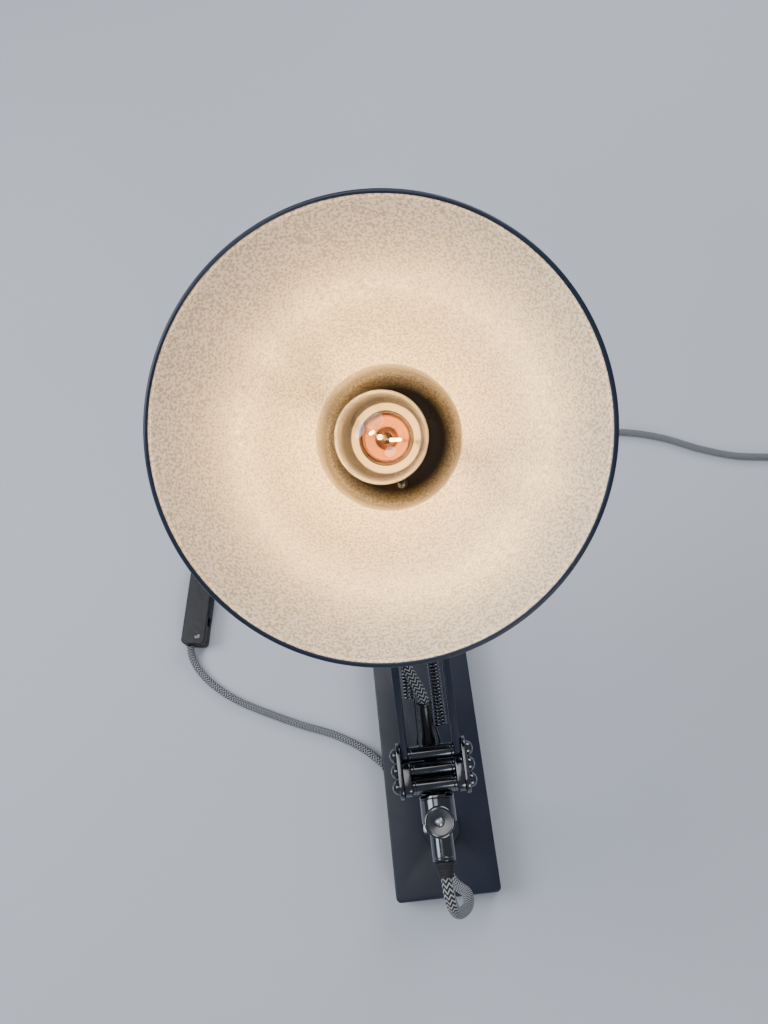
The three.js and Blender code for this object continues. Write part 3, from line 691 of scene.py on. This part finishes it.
def add_lamp_cords():
    """The cord up the column's back, along the arm and to the head."""
    loop = smooth(in_mm(LOOP_ROUTE), 0.8)
    add("loop_braid", swept(loop, CORD_R, 28), BRAID, "post", stands_for=["loop_cord"], crease=60)
    for name, route, bodies, start, end, node in (
            ("arm_braid", ARM_ROUTE, ("post", "arm"), 1, 7, "arm_cord"),
            ("head_braid", HEAD_ROUTE, ("arm", "bracket"), 1, 7, "head_cord")):
        made = add(name, swept(smooth(in_mm(route), 0.8), CORD_R, 28), BRAID, None, stands_for=[node],
                   crease=60)
        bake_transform(made)


# ---- Base ----
GLAND_FROM = Vector((-19.4, -30.8, 9))
GLAND_TO = Vector((-40.6, -9.6, 9))


def add_base():
    low, high = box_mm("base_casting")
    width, length = high.x - low.x, high.y - low.y
    wall, roof, corner = 7, 12, 4
    outline = rectangle(width, length, corner, 10)
    shell = slab([outline, circle(0, COLUMN.y, 6.8)], low.z, high.z, 1.1, 5)
    pocket = block((low.x + wall, low.y + wall, low.z - 1),
                   (high.x - wall, high.y - wall, high.z - roof))
    shell = carved(shell, [pocket, rod(GLAND_FROM, GLAND_TO * 1.3 - GLAND_FROM * 0.3, 5.3)])
    add("base_body", shell, NAVY, "base", stands_for=["base_casting"])

    low, high = box_mm("base_pad")
    pad = slab([rectangle(high.x - low.x, high.y - low.y, 2.5, 8)], low.z, high.z, 0.5)
    add("base_felt", pad, FELT, "base", stands_for=["base_pad"])

    along = GLAND_TO - GLAND_FROM
    place = shift(GLAND_FROM) @ along.to_track_quat("Z", "Y").to_matrix().to_4x4()
    inner, mouth = 3.45, along.length
    ribs = [point for k in range(6)
            for point in ((4.95 - 0.12 * k, 13 + 2.6 * k), (4.5 - 0.1 * k, 14.2 + 2.6 * k))]
    outline = [(inner, 6), (5.0, 6), (5.0, 12), *ribs, (4.2, mouth), (inner, mouth)]
    relief = lathe(outline, 0.25, 3, 48, True)
    add("gland_body", relief, RUBBER, "base", place, ["mains_gland"])


def add_socket():
    top = box_mm("base_casting")[1].z
    inner = 6.8
    outline = [(inner, top + GAP), (15, top + GAP, 0.3), (15, top + 2.9, 0.7), (13.6, top + 4),
               (10.5, top + 4.9, 1.5), (10.5, top + 16, 0.7), (inner, top + 16, 0.3)]
    collar = lathe(outline, 0.4, 5, closed=True)
    add("socket_collar", collar, NICKEL, "base", POST, ["column_socket"])
    screw = lathe([(0, 0), (1.3, 0, 0), (1.3, 0.9, 0), (2.1, 1.5), (2.1, -2), (0, -2)], 0.15, segments=32)
    place = POST @ shift((0, -10.2, top + 11)) @ turn(90, "X")
    add("socket_screw", screw, STEEL, "base", place)


# ---- Column and tee ----
def add_column():
    low, high = box_mm("column_tube")
    outer, inner = 6.5, 5.0
    outline = [(inner, low.z), (outer, low.z), (outer, high.z), (inner, high.z)]
    tube = lathe(outline, 0.3, 3, closed=True)
    tube = carved(tube, [rod((0, 0, LOOP_Z), (0, -12, LOOP_Z), 3.6)])
    add("column_pole", tube, NAVY, "post", POST, ["column_tube"])
    ring = lathe([(3.45, 3), (5.6, 3), (5.6, 6.5, 0.6), (4.7, 9.5, 0.7), (3.45, 9.5, 0.3)], 0.3,
                 segments=48, closed=True)
    ring = moved(ring, shift((0, 0, LOOP_Z)) @ turn(90, "X"))
    ring = carved(ring, [rod((0, 0, LOOP_Z - 9), (0, 0, LOOP_Z + 9), outer + GAP, 96)])
    add("cord_grommet", ring, RUBBER, "post", POST, ["column_grommet"])


def add_tee():
    z = TEE_Z
    barrel = lathe([(0, 221.3), (8, 221.3, 0.8), (8, 244, 0.5), (0, 244)], 0.5)
    front = moved(lathe([(0, 0), (9.75, 0), (9.75, 12.2, 0), (9.4, 12.6, 0.2), (9.75, 13.0, 0),
                                  (9.75, 14.9, 0.9), (5.9, 14.9, 0.3), (5.9, 23, 0.4), (0, 23)], 0.3),
                                  ALONG, shift((0, 0, z)))
    rear = moved(lathe([(0, 0), (6.35, 0), (6.35, 17.6, 0), (6.05, 18.0, 0.2), (6.35, 18.4, 0),
                                 (6.35, 20, 0.7), (0, 20)], 0.3),
                 turn(90, "X"), shift((0, 0, z)))
    body = carved(barrel, [front, rear], "UNION")
    holes = [rod((0, -21, z), (0, 24, z), 3.7), rod((0, -21, z), (0, -8.5, z), 5.5),
             rod((0, 0, 221), (0, 0, 228), 6.8, 96)]
    add("tee_sleeves", carved(body, holes), NICKEL, "post", POST, ["tee_body"])
    cap = [(0, 244.3), (8.3, 244.3, 0.3), (8.5, 245.2, 0.3), (8.5, 246.1, 0.5), (7.6, 246.7, 0.5),
           (6.9, 246.1, 0.3), (2.7, 246.1, 0.15), (2.7, 245.3, 0.1), (0, 245.3)]
    add("tee_disc", lathe(cap, 0.3, 5), NICKEL, "post", POST, ["tee_cap"])
    head = lathe([(0, 245.6), (2.35, 245.6), (2.35, 246.9, 0.8), (1.3, 247.7, 0.8), (0, 247.9)], 0.2, 5, 64)
    cross = [moved(block((-1.6, -0.3, 247.0), (1.6, 0.3, 249)), turn(angle, "Z")) for angle in (32, 122)]
    add("tee_screw_head", carved(head, cross), STEEL, "post", POST, ["tee_screw"])
    grooves = [point for k in range(3)
               for point in ((5.3 - 0.32 * k, 23.2 + 1.5 * k), (4.75 - 0.32 * k, 23.9 + 1.5 * k))]
    relief = [(3.45, 9), (5.2, 9), (5.2, 20.4), (6.3, 20.4), (6.3, 21.5, 0.5), (5.5, 22.2, 0.3),
              *grooves, (4.2, 28.3, 0.2), (3.8, 28.3), (3.45, 23)]
    relief = lathe(relief, 0.25, 3, 64, True)
    add("rear_relief_cone", relief, RUBBER, "post", POST @ shift((0, 0, TEE_Z)) @ turn(90, "X"),
        ["rear_relief"])


# ---- Elbow ----
SPACERS = {"front": 0.0, "middle": -8.5, "rear": -17.0}
RIVET_R = 2.0
HEADS = PLATE_OUT + GAP
PAD_IN = 12.6  # the cheeks' thick part, between the bars and the middle of the lamp


def rivet(middle=0.0, middle_half=0.0):
    """A through rivet along +Z, with a domed head at each end and maybe a thicker middle."""
    head = [(RIVET_R, HEADS, 0), (4.0, HEADS, 0.25), (3.75, HEADS + 1.5, 0.8), (2.4, HEADS + 3.2, 1.4),
            (0, HEADS + 3.8)]
    core = [(RIVET_R, middle_half, 0), (middle, middle_half, 0.3)] if middle else []
    half = [*reversed([(r, h, f[0]) for r, h, *f in core]),
            *[(r, h, *f) for r, h, *f in head]]
    below = [(r, -h, *f) for r, h, *f in reversed(half)]
    return lathe([*below, *half], 0.3, 5, 64)


def add_elbow():
    y, z = ELBOW.y, ELBOW.z
    low, high = box_mm("elbow_hub")
    outline = round_outline([(-44, 226.5), (-35.5, 226.5), (-35.5, 237), (-44, 237)], 4.5, 8)
    hub = moved(slab([outline], low.x, high.x, 0.8, 4), ACROSS)
    hub = carved(hub, [rod((0, -50, TEE_Z), (0, -40.4, TEE_Z), 6.2),
                       rod((0, -50, TEE_Z), (0, -28, TEE_Z), 3.6)])
    add("elbow_block", hub, NICKEL, "post", None, ["elbow_hub"])

    rear = y + SPACERS["rear"]
    corners = [(rear, 229), (LOWER.y, LOWER.z), (y, z), (rear, z)]
    hole = RIVET_R + GAP
    centres = [(y + offset, z) for offset in SPACERS.values()] + [(LOWER.y, LOWER.z)]
    outline = [round_outline(corners, 6.8, 12), *[circle(cy, cz, hole) for cy, cz in centres]]
    pad_outline = [round_outline([(rear, z), (y + SPACERS["middle"], z)], 5.6, 12),
                   *[circle(y + SPACERS[name], z, hole) for name in ("middle", "rear")]]
    for side, sign in (("left", -1), ("right", 1)):
        inner, outer = sorted((sign * PLATE_IN, sign * PLATE_OUT))
        plate = moved(slab(outline, inner, outer, 0.6, 4), ACROSS)
        near, far = sorted((sign * PAD_IN, sign * (PLATE_IN - 0.02)))
        pad = moved(slab(pad_outline, near, far, 0.6, 4), ACROSS)
        peg_y, peg_z = LOWER.y, 233
        peg = rod((sign * 5.6, peg_y, peg_z), (sign * (PLATE_IN + 1), peg_y, peg_z), 1.5, 32)
        add(f"elbow_cheek_{side}", together(carved(plate, [peg], "UNION"), pad), NICKEL, "post",
            None, [f"cheek_{side}"])
    for name, offset in SPACERS.items():
        at = shift((0, y + offset, z)) @ ACROSS
        half = (BAR_IN if offset == 0 else PAD_IN) - GAP
        rim = half - 1.6
        side = [(hole, half), (4.0, half, 0.3), (4.0, rim + 0.3, 0), (3.6, rim, 0.15),
                (4.0, rim - 0.4, 0.35)]
        outline = [*[(r, -h, *f) for r, h, *f in side], *reversed(side)]
        add(f"elbow_spacer_{name}", lathe(outline, 0.2, closed=True), NICKEL, "post",
            at, [f"spacer_{name}"])
        add(f"rivet_{name}", rivet(), NICKEL, "post", at, [f"elbow_rivet_{name}"])
    add("rivet_lower", rivet(3.0, BAR_IN - GAP), NICKEL, "post", shift(LOWER) @ ACROSS,
        ["lower_pivot_rivet"])


BOOT_ROUTE = [
    (-0.0006, -0.0304, 0.233), (-0.0006, -0.022, 0.2338), (-0.0006, -0.013, 0.2362),
    (-0.0006, -0.005, 0.2398), (-0.0006, 0.0016, 0.2439),
]


def add_boot():
    """The glossy sleeve that carries the cord out of the elbow, with a lip at its mouth."""
    route = smooth(in_mm(BOOT_ROUTE), 0.6)
    whole = length_of(route)
    lip = lambda s: 4.2 + 0.35 * exp(-((s - whole + 0.9) / 0.7) ** 2) - 0.5 * (s > whole - 0.3)
    outer = swept(route, lip, 40)
    inner = swept([route[0] * 2 - route[4], *route, route[-1] * 2 - route[-4]], 3.5, 32)
    add("boot_sleeve", carved(outer, [inner]), GLOSS_PLASTIC, "post", None, ["cord_boot"], crease=40)


# ---- Arm ----
def add_bars():
    hole = RIVET_R + GAP
    outline = [round_outline([(0, 0), (ARM_LENGTH, 0)], 4.0, 20), circle(0, 0, hole),
               circle(ARM_LENGTH, 0, hole)]
    for level, body, place in (("upper", "arm", ARM), ("lower", "link", LINK)):
        for side, sign in (("left", -1), ("right", 1)):
            inner, outer = sorted((sign * BAR_IN, sign * BAR_OUT))
            add(f"{level}_rail_{side}", slab(outline, inner, outer, 0.7, 4), NAVY, body, place @ ACROSS,
                [f"{level}_bar_{side}"])
    half = BAR_IN - GAP
    brace = lathe([(0, -half), (3, -half, 0.4), (3, -half + 3, 0), (2.7, -half + 3.4, 0),
                            (2.7, half - 3.4, 0), (3, half - 3, 0), (3, half, 0.4), (0, half)], 0.2,
                            segments=64)
    add("arm_cross_brace", brace, NICKEL, "arm", ARM @ shift((0, 128, 0)) @ ACROSS, ["arm_brace"])
    pin = lathe([(0, -half), (1.6, -half), (1.6, half), (0, half)], 0.3, segments=48)
    add("spring_anchor_pin", pin, NICKEL, "link", LINK @ shift((0, 110, 0)) @ ACROSS, ["spring_front_pin"])


WIRE_R = 0.7
SPRING_PEG = Vector((0, LOWER.y, 233))
SPRING_FRONT = LINK @ Vector((0, 110, 0))


def hook(centre, towards, x, radius, sign):
    """Three quarters of a ring about a pin, in the spring's own plane, from the wire's side."""
    made = []
    base = atan2(towards.z, towards.y)
    for k in range(15):
        angle = base + sign * radians(60 + 18 * k)
        made.append(Vector((x, centre.y + radius * cos(angle), centre.z + radius * sin(angle))))
    return made


def add_spring(side, x, coil_r, first, last, peg_x):
    """A close-wound coil with a straight wire and a hooked eye at each end."""
    axis = (SPRING_FRONT - SPRING_PEG).normalized()
    lift = Vector((0, -axis.z, axis.y))
    across = Vector((1, 0, 0))
    start = SPRING_PEG + axis * first
    turns = round((last - first) / 1.95)
    mean = coil_r - WIRE_R
    points = hook(SPRING_PEG, -axis, peg_x, 2.4, 1)[::-1]
    points.append(start + across * (x - copysign(mean, x)) - axis * 1.5)
    for i in range(turns * 20 + 1):
        angle = 2 * pi * i / 20
        along = start + axis * (last - first) * i / (turns * 20)
        points.append(along + across * (x - copysign(mean, x) * cos(angle))
                      + lift * mean * sin(angle))
    points += hook(SPRING_FRONT, axis, x, 2.5, 1)
    wire = [points[0]]
    for a, b in zip(points, points[1:]):
        pieces = max(1, round((b - a).length / 1.4))
        wire += [a.lerp(b, (k + 1) / pieces) for k in range(pieces)]
    made = add(f"spring_coil_{side}", swept(wire, WIRE_R, 10), SPRING_STEEL, None,
               stands_for=[f"spring_{side}"], crease=60)
    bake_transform(made)


# ---- Head bracket ----
def add_bracket():
    corners = [(point.y, point.z) for point in (FAR_LOWER, TILT, FAR)]
    for side, sign in (("left", -1), ("right", 1)):
        inner, outer = sorted((sign * PLATE_IN, sign * PLATE_OUT))
        pivot = 3.3 if sign > 0 else 4.3
        holes = [circle(cy, cz, pivot if i == 1 else RIVET_R + GAP) for i, (cy, cz) in enumerate(corners)]
        plate = slab([round_outline(corners, 6.5, 14), *holes], inner, outer, 0.6, 4)
        add(f"bracket_plate_{side}", plate, NAVY, "bracket", ACROSS, [f"bracket_{side}"])
    for name, point in (("upper", FAR), ("lower", FAR_LOWER)):
        add(f"head_rivet_{name}", rivet(3.0, BAR_IN - GAP), NICKEL, "bracket", shift(point) @ ACROSS,
            [f"bracket_rivet_{name}"])

    at = shift(TILT) @ ACROSS
    boss = [(0, -30), (6.0, -30, 0.8), (7.4, -28.6, 0.6), (7.4, -HEADS, 0.4), (4, -HEADS, 0.1),
            (4, -9, 0.3), (0, -9)]
    add("gland_boss", lathe(boss, 0.3), NICKEL, "bracket", at, ["pivot_gland"])
    collar = lathe([(3.35, -2.4), (4.4, -2.4, 0.4), (4.9, 1.2), (3.35, 1.2)], 0.3, segments=48, closed=True)
    add("gland_collar", collar, RUBBER, "bracket", shift(Vector(HEAD_ROUTE[-1]) / MM) @ ALONG)

    lobes = 8

    def flutes(angle, radius, height):
        depth = 1.0 if radius > 6 else 0.0
        return radius - depth * max(0.0, cos(lobes * angle)) ** 1.5

    grip = [(0, 8), (3, 8, 0.4), (3, HEADS, 0), (7.6, HEADS, 0.5), (8.5, HEADS + 1.4, 0.6),
            (8.5, 29.4, 0.9), (7.3, 30.7, 0.7), (4.6, 31.0, 0.3), (4.3, 30.4, 0.3), (0, 30.4)]
    add("knob_grip", lathe(grip, 0.3, segments=128, flutes=flutes), PLASTIC, "knob", at, ["tilt_knob"])
    disc = lathe([(0, 30.45), (4.0, 30.45), (4.0, 30.8, 0.2), (0, 30.95)], 0.1, 3, 64)
    add("knob_disc", disc, NICKEL, "knob", at)


# ---- Head ----
RIM_RADIUS = 93.0
RIM_HEIGHT = 168.0
CUP_RADIUS = 37.9
CUP_FLOOR = 39.0
CUP_MOUTH = 92.0
WALL = 1.0


def add_knuckle():
    left, right = GAP - PLATE_IN - STEM_X, PLATE_IN - GAP - STEM_X
    straight = turn(-SHADE_LEAN, "Y")
    barrel = moved(lathe([(0, left), (6.5, left, 0.6), (6.5, right, 0.6), (0, right)], 0.5),
                   ACROSS, straight)
    stem = lathe([(0, 0), (5, 0), (5, CUP_FLOOR - GAP, 0.3), (4.6, CUP_FLOOR - GAP, 0),
                           (4.6, 50, 0.3), (0, 50)], 0.3)
    body = carved(stem, [barrel], "UNION")
    holes = [moved(rod((left - 3, 0, 0), (-1, 0, 0), 4.3), straight),
             moved(rod((4.4, 0, 0), (right + 3, 0, 0), 3.3), straight), rod((0, 0, 0), (0, 0, 51), 3.2)]
    add("knuckle", carved(body, holes), NICKEL, "head", HEAD, ["knuckle_stem"])
    hexagon = [Vector((8.1 * cos(radians(a)), 8.1 * sin(radians(a))))
               for a in range(0, 360, 60)]
    nut = slab([rounded(hexagon, 0.8, 3, True), circle(0, 0, 5.05)], CUP_FLOOR - 4.6,
               CUP_FLOOR - GAP, 0.5)
    add("stem_nut", nut, NICKEL, "head", HEAD)


def add_shade():
    """One spun shell: a deep cup with a rounded floor, a shoulder, the cone and its rolled rim."""
    wall, rim = WALL, 1.35
    outer = rounded([
        (5.2, CUP_FLOOR), (CUP_RADIUS, CUP_FLOOR, 14.0), (CUP_RADIUS, CUP_MOUTH - 7.2, 4.0),
        (45.9, CUP_MOUTH + 3.5, 8.0),
        (RIM_RADIUS + 0.6, RIM_HEIGHT - 1.2, 0),
    ], 0.5, 10)
    bead = Vector((RIM_RADIUS, RIM_HEIGHT + 0.1))
    turned_rim = [bead + rim * Vector((cos(a), sin(a)))
                  for a in (radians(-55 + 250 * k / 16) for k in range(17))]
    inner = rounded([
        (RIM_RADIUS - 1.7, RIM_HEIGHT - 0.9, 0), (45.0, CUP_MOUTH + 4.0, 8.0),
        (38.0, CUP_MOUTH - 5.4, 0.8), (CUP_RADIUS - wall, CUP_MOUTH - 6.4, 0.6),
        (CUP_RADIUS - wall, CUP_FLOOR + wall, 13.0), (5.2, CUP_FLOOR + wall),
    ], 0.5, 10)
    outline = [*outer, *turned_rim, *inner]
    segments = 192
    mesh = turned([(p.x, p.y) for p in outline], segments, True)
    split = len(outer) + 12  # the enamel starts on the inner side of the rolled rim
    for face in mesh.polygons:
        ring = min(face.vertices) // segments
        last = max(face.vertices) // segments
        wraps = ring == 0 and last == len(outline) - 1
        face.material_index = 1 if ring >= split and not wraps else 0
    add("shade_shell", mesh, [SHADE_NAVY, ENAMEL], "head", HEAD, ["shade"], crease=50)


HOLDER_R = 19.2
HOLDER_TOP = 80.0


def add_lampholder():
    ribs = 36

    def flutes(angle, radius, height):
        ribbed = radius > 18.5 and 50.5 < height < 76
        return radius - (0.45 * max(0.0, cos(ribs * angle)) if ribbed else 0.0)

    bottom = HOLDER_BOTTOM
    outline = [(5.6, bottom), (15, bottom, 1.0), (HOLDER_R, bottom + 6, 2.0), (HOLDER_R, 50.4, 0),
               (HOLDER_R, 50.6, 0), (HOLDER_R, 75.9, 0), (HOLDER_R, 76.0, 0), (14.4, 76.0),
               (14.4, bottom + 12, 0.5), (5.6, bottom + 12)]
    add("holder_body", lathe(outline, 0.3, segments=216, closed=True, flutes=flutes), PLASTIC, "head",
        LAMPS, ["lampholder"])
    steps = [point for k in range(3) for point in ((18.1 - 1.1 * k, HOLDER_TOP - 0.3 * k, 0.1),
                                                   (18.0 - 1.1 * k, HOLDER_TOP - 0.3 - 0.3 * k, 0.1))]
    ring = [(14.4, 76.1), (HOLDER_R, 76.1, 0.3), (HOLDER_R, HOLDER_TOP, 0.8), *steps,
            (14.9, HOLDER_TOP - 0.9, 0.3), (14.4, HOLDER_TOP - 1.6)]
    add("holder_front_ring", lathe(ring, 0.15, segments=128, closed=True), CERAMIC, "head", LAMPS)
    place = HEAD @ shift((2, -25, 0))
    post = [(0, 41.6), (3.0, 41.6, 0.4), (3.0, 54, 0.4), (0, 54)]
    add("terminal_post", lathe(post, 0.3, segments=48), PLASTIC, "head", place,
        ["earth_terminal"])
    screw = lathe([(0, 54.1), (2.1, 54.1), (2.1, 55.3, 0.5), (0, 56.0)], 0.2, segments=48)
    slot = moved(block((-3, -0.28, 55.2), (3, 0.28, 57)), turn(75, "Z"))
    add("terminal_screw", carved(screw, [slot]), NICKEL, "head", place)


BULB_CENTRE = 108.0
BULB_R = 22.5
CAP_BOTTOM = 54.5
CAP_TOP = 79.5
GLASS_WALL = 0.8
THREAD_PITCH = 3.6


def add_bulb():
    def thread(angle, radius, height):
        if radius < 12.9 or not CAP_BOTTOM + 7 < height < CAP_TOP - 3:
            return radius
        return radius + 0.42 * cos(angle - 2 * pi * height / THREAD_PITCH)

    rows = [(13.0, CAP_BOTTOM + 7 + 0.45 * k, 0) for k in range(34)]
    cap = [(0, CAP_BOTTOM), (4.2, CAP_BOTTOM, 0.6), (5.2, CAP_BOTTOM + 2.2), (10.6, CAP_BOTTOM + 4.4),
           (12.8, CAP_BOTTOM + 6), *rows, (13.0, CAP_TOP, 0.2), (12.3, CAP_TOP, 0.2),
           (12.3, CAP_BOTTOM + 8), (0, CAP_BOTTOM + 8)]
    add("cap_thread", lathe(cap, 0.3, 3, flutes=thread), BRASS, "head", LAMPS, ["bulb_cap"], crease=50)

    def globe(size):
        neck, low = CAP_TOP + GAP, radians(-54)
        ball = [Vector((size * cos(a), BULB_CENTRE + size * sin(a)))
                for a in (low + (pi / 2 - low) * k / 40 for k in range(41))]
        ball[-1].x = 0.0
        thin = BULB_R - size
        flare = [Vector((12.35 - thin, neck)), Vector((12.45 - thin, neck + 4.5)),
                 Vector((12.75 - thin, neck + 8.0))]
        return flare + ball

    outline = globe(BULB_R) + globe(BULB_R - GLASS_WALL)[::-1]
    add("bulb_globe", turned([tuple(p) for p in outline], 128, True), GLASS, "head", LAMPS,
        ["bulb_glass"], crease=60)

    bottom = CAP_BOTTOM + 8 + GAP
    stem = [(0, bottom), (11.2, bottom, 0.5), (11.4, 72, 2.0), (5.4, 76.5, 3.0), (2.4, 82, 4.0),
            (1.6, 97, 0.6), (0, 98)]
    add("bulb_pinch_stem", lathe(stem, 0.4, 6), GLASS, "head", LAMPS, ["bulb_stem"], crease=60)
    lining = lathe([(2.9, 79.7), (12.2, 79.7), (12.2, 81.6), (11.9, 81.6), (11.6, 80.4, 0.5),
                             (6.0, 80.2, 2.0), (2.9, 80.9)], 0.15, closed=True)
    add("cap_lining", lining, COPPER, "head", LAMPS, crease=40)

    sticks = []
    wires = []
    for x, y, lean in ((-4.5, 2.8, 1.6), (6.4, -1.9, -1.6)):
        foot = Vector((x - lean, y, 98))
        top = Vector((x + lean, y, 115))
        sticks.append(swept([foot.lerp(top, i / 6) for i in range(7)], 0.8, 16))
        wires.append(swept([Vector((0.2 * x, 0.2 * y, 88)), Vector((0.5 * x, 0.5 * y, 91)), foot,
                            foot.lerp(top, 0.04)], 0.28, 8))
        wires.append(swept([top.lerp(foot, 0.04), top, top.lerp(Vector((0, 0, 121.5)), 0.6),
                            Vector((0, 0, 121.5))], 0.28, 8))
    wires.append(swept([Vector((0, 0, 97)), Vector((0, 0, 121.8))], 0.3, 8))
    add("filament_sticks", together(*sticks), GLOW, "head", LAMPS)
    add("filament_wires", together(*wires), STEEL, "head", LAMPS)


# ---- In-line switch and plug ----
def add_switch():
    width, height, middle = 22.0, 17.0, 8.5
    entry_x, entry_z = -3.5, 8.6
    outline = [p + Vector((0, SWITCH_LENGTH / 2)) for p in rectangle(width, SWITCH_LENGTH, 4, 10)]
    slot = block((3, 18, 5.4), (width, 66, height - 3.2))
    bores = [rod((entry_x, -1, entry_z), (entry_x, 9, entry_z), 3.5),
             rod((entry_x, SWITCH_LENGTH - 9, entry_z), (entry_x, SWITCH_LENGTH + 1, entry_z), 3.5)]
    made = []
    for name, low, high in (("bottom", 0.0, middle - GAP / 2), ("top", middle + GAP / 2, height)):
        shell = carved(slab([outline], low, high, 1.0, 5), [slot, *bores])
        made.append(add(f"switch_shell_{name}", shell, PLASTIC, "base", SWITCH, [f"switch_{name}"]))
    low, high = 26.0, 46.0
    thumb = slab([rounded([(3.6, low), (12.6, low, 1.2), (12.6, high, 1.2), (3.6, high)], 0.3, 5, True)],
                 5.8, height - 3.6, 0.4)
    grooves = [block((12.1, low + 2.6 + 2.4 * k, 5), (14, low + 3.7 + 2.4 * k, 15)) for k in range(7)]
    add("slider_thumb", carved(thumb, grooves), PLASTIC, "slider", SWITCH, ["switch_slider"])
    for end, at in (("near", 7.0), ("far", SWITCH_LENGTH - 7.0)):
        head = lathe([(0, height + 0.02), (2.4, height + 0.02), (2.4, height + 0.35, 0.2),
                               (0, height + 0.5)], 0.1, 3, 48)
        cross = [moved(block((-1.5, -0.3, height + 0.25), (1.5, 0.3, height + 2)), turn(a, "Z"))
                 for a in (20, 110)]
        place = SWITCH @ shift((4.2, at, 0))
        made.append(add(f"switch_screw_{end}", carved(head, cross), NICKEL, "base", place))
    return made


def add_plug():
    low, high = box_mm("plug_body")
    x, mouth, face = (low.x + high.x) / 2, high.y, low.y
    thick, neck = high.z, mouth - 25
    outline = rounded([(6, neck, 1.5), (-6, neck, 1.5), (low.x - x, neck - 13, 5), (low.x - x, face, 2),
                       (high.x - x, face, 2), (high.x - x, neck - 13, 5)], 2, 6, True)
    sockets = [rod((s * 9.5, face - 1, thick / 2), (s * 9.5, face + 8, thick / 2), 2.45) for s in (-1, 1)]
    grips = [block((s * 13.0 - 1.2, neck - 30 + 3.2 * k, -1), (s * 13.0 + 1.2, neck - 28.6 + 3.2 * k, 20))
             for s in (-1, 1) for k in range(4)]
    body = carved(slab([outline], 0, thick, 1.8, 5), [*sockets, *grips])
    place = shift((x, 0, 0))
    shell = add("plug_shell", body, PLASTIC, "base", place, ["plug_body"])
    ribs = [point for k in range(6)
            for point in ((5.5 - 0.22 * k, 3.4 + 3.1 * k), (4.7 - 0.2 * k, 4.4 + 3.1 * k),
                          (4.7 - 0.2 * k, 5.4 + 3.1 * k))]
    cone = [(3.4, -1.5), (5.8, -1.5), *ribs, (4.1, 24.9, 0.4), (3.4, 24.9)]
    cone = lathe(cone, 0.25, 3, 48, True)
    relief = add("plug_relief", cone, RUBBER, "base", shift((x, neck, thick / 2)) @ ALONG)
    made = [shell, relief]
    for side, sign in (("left", 1), ("right", -1)):
        at = shift((x + sign * 9.5, face + 7.6, thick / 2)) @ turn(90, "X")
        pin = lathe([(0, 0), (2.0, 0), (2.0, 26.7, 0.9), (0, 26.7)], 0.3, 5, 48)
        made.append(add(f"plug_prong_{side}", pin, STEEL, "base", at, [f"plug_pin_{side}"]))
    return made


# ---- Stage ----
def add_area(name, place, aim, size, power, colour):
    data = bpy.data.lights.new(name, "AREA")
    data.shape = "DISK"
    data.size = size
    data.energy = power
    data.color = colour
    lamp = bpy.data.objects.new(name, data)
    lamp.location = place
    lamp.rotation_mode = "QUATERNION"
    lamp.rotation_quaternion = (Vector(aim) - Vector(place)).to_track_quat("-Z", "Y")
    link(lamp)


def add_stage():
    look = Look("floor", (0.62, 0.64, 0.68), 0.8)
    look.tint(look.between(look.noise(3, 2), 0.0, 0.4), (0.66, 0.68, 0.72))
    mesh = mesh_from([(-4, -4, 0), (4, -4, 0), (4, 4, 0), (-4, 4, 0)], [(0, 1, 2, 3)])
    mesh.materials.append(look.material)
    floor = bpy.data.objects.new("floor", mesh)
    link(floor)
    world = bpy.data.worlds.new("studio")
    world.use_nodes = True
    world.node_tree.nodes["Background"].inputs["Color"].default_value = (0.62, 0.70, 0.84, 1)
    world.node_tree.nodes["Background"].inputs["Strength"].default_value = 0.35
    bpy.context.scene.world = world
    add_area("softbox_left", (-1.5, 0.3, 1.5), (0, 0, 0.2), 1.2, 22, (0.86, 0.92, 1.0))
    add_area("softbox_back", (0.9, 1.7, 1.3), (0, 0, 0.2), 1.2, 16, (0.90, 0.94, 1.0))
    add_area("softbox_top", (-0.3, 0.5, 1.8), (0, 0.1, 0.3), 1.2, 9, (1.0, 0.95, 0.90))
    add_area("softbox_front", (0.6, -1.8, 1.2), (0, 0, 0.2), 1.0, 12, (0.92, 0.95, 1.0))


def add_bulb_light():
    """The light that the bulb gives, which moves with the head."""
    data = bpy.data.lights.new("bulb_light", "POINT")
    data.energy = 0.27
    data.color = (1.0, 0.62, 0.22)
    data.shadow_soft_size = 0.0012
    lamp = bpy.data.objects.new("bulb_light", data)
    lamp.location = (LAMPS @ Vector((0, 0, BULB_CENTRE + 8))) * MM
    link(lamp)
    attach(lamp, "head")


def finish_cad_nodes():
    """What still shows of the CAD is hidden inside the base; it gets its material here."""
    for node, look in (("ballast_plate", STEEL), ("socket_nut", STEEL)):
        frame["nodes"][node].data.materials.clear()
        frame["nodes"][node].data.materials.append(look)


add_camera()
near_lead, far_lead = add_mains_lead()
add_lamp_cords()
add_base()
add_socket()
add_column()
add_tee()
add_elbow()
add_boot()
add_bars()
add_spring("left", -9.2, 3.8, 30, 90, -7.2)
add_spring("right", 7.9, 3.9, 13, 82, 6.6)
add_bracket()
add_knuckle()
add_shade()
add_lampholder()
add_bulb()
switch_pieces = add_switch()
plug_pieces = add_plug()
finish_cad_nodes()
add_bulb_light()
add_stage()
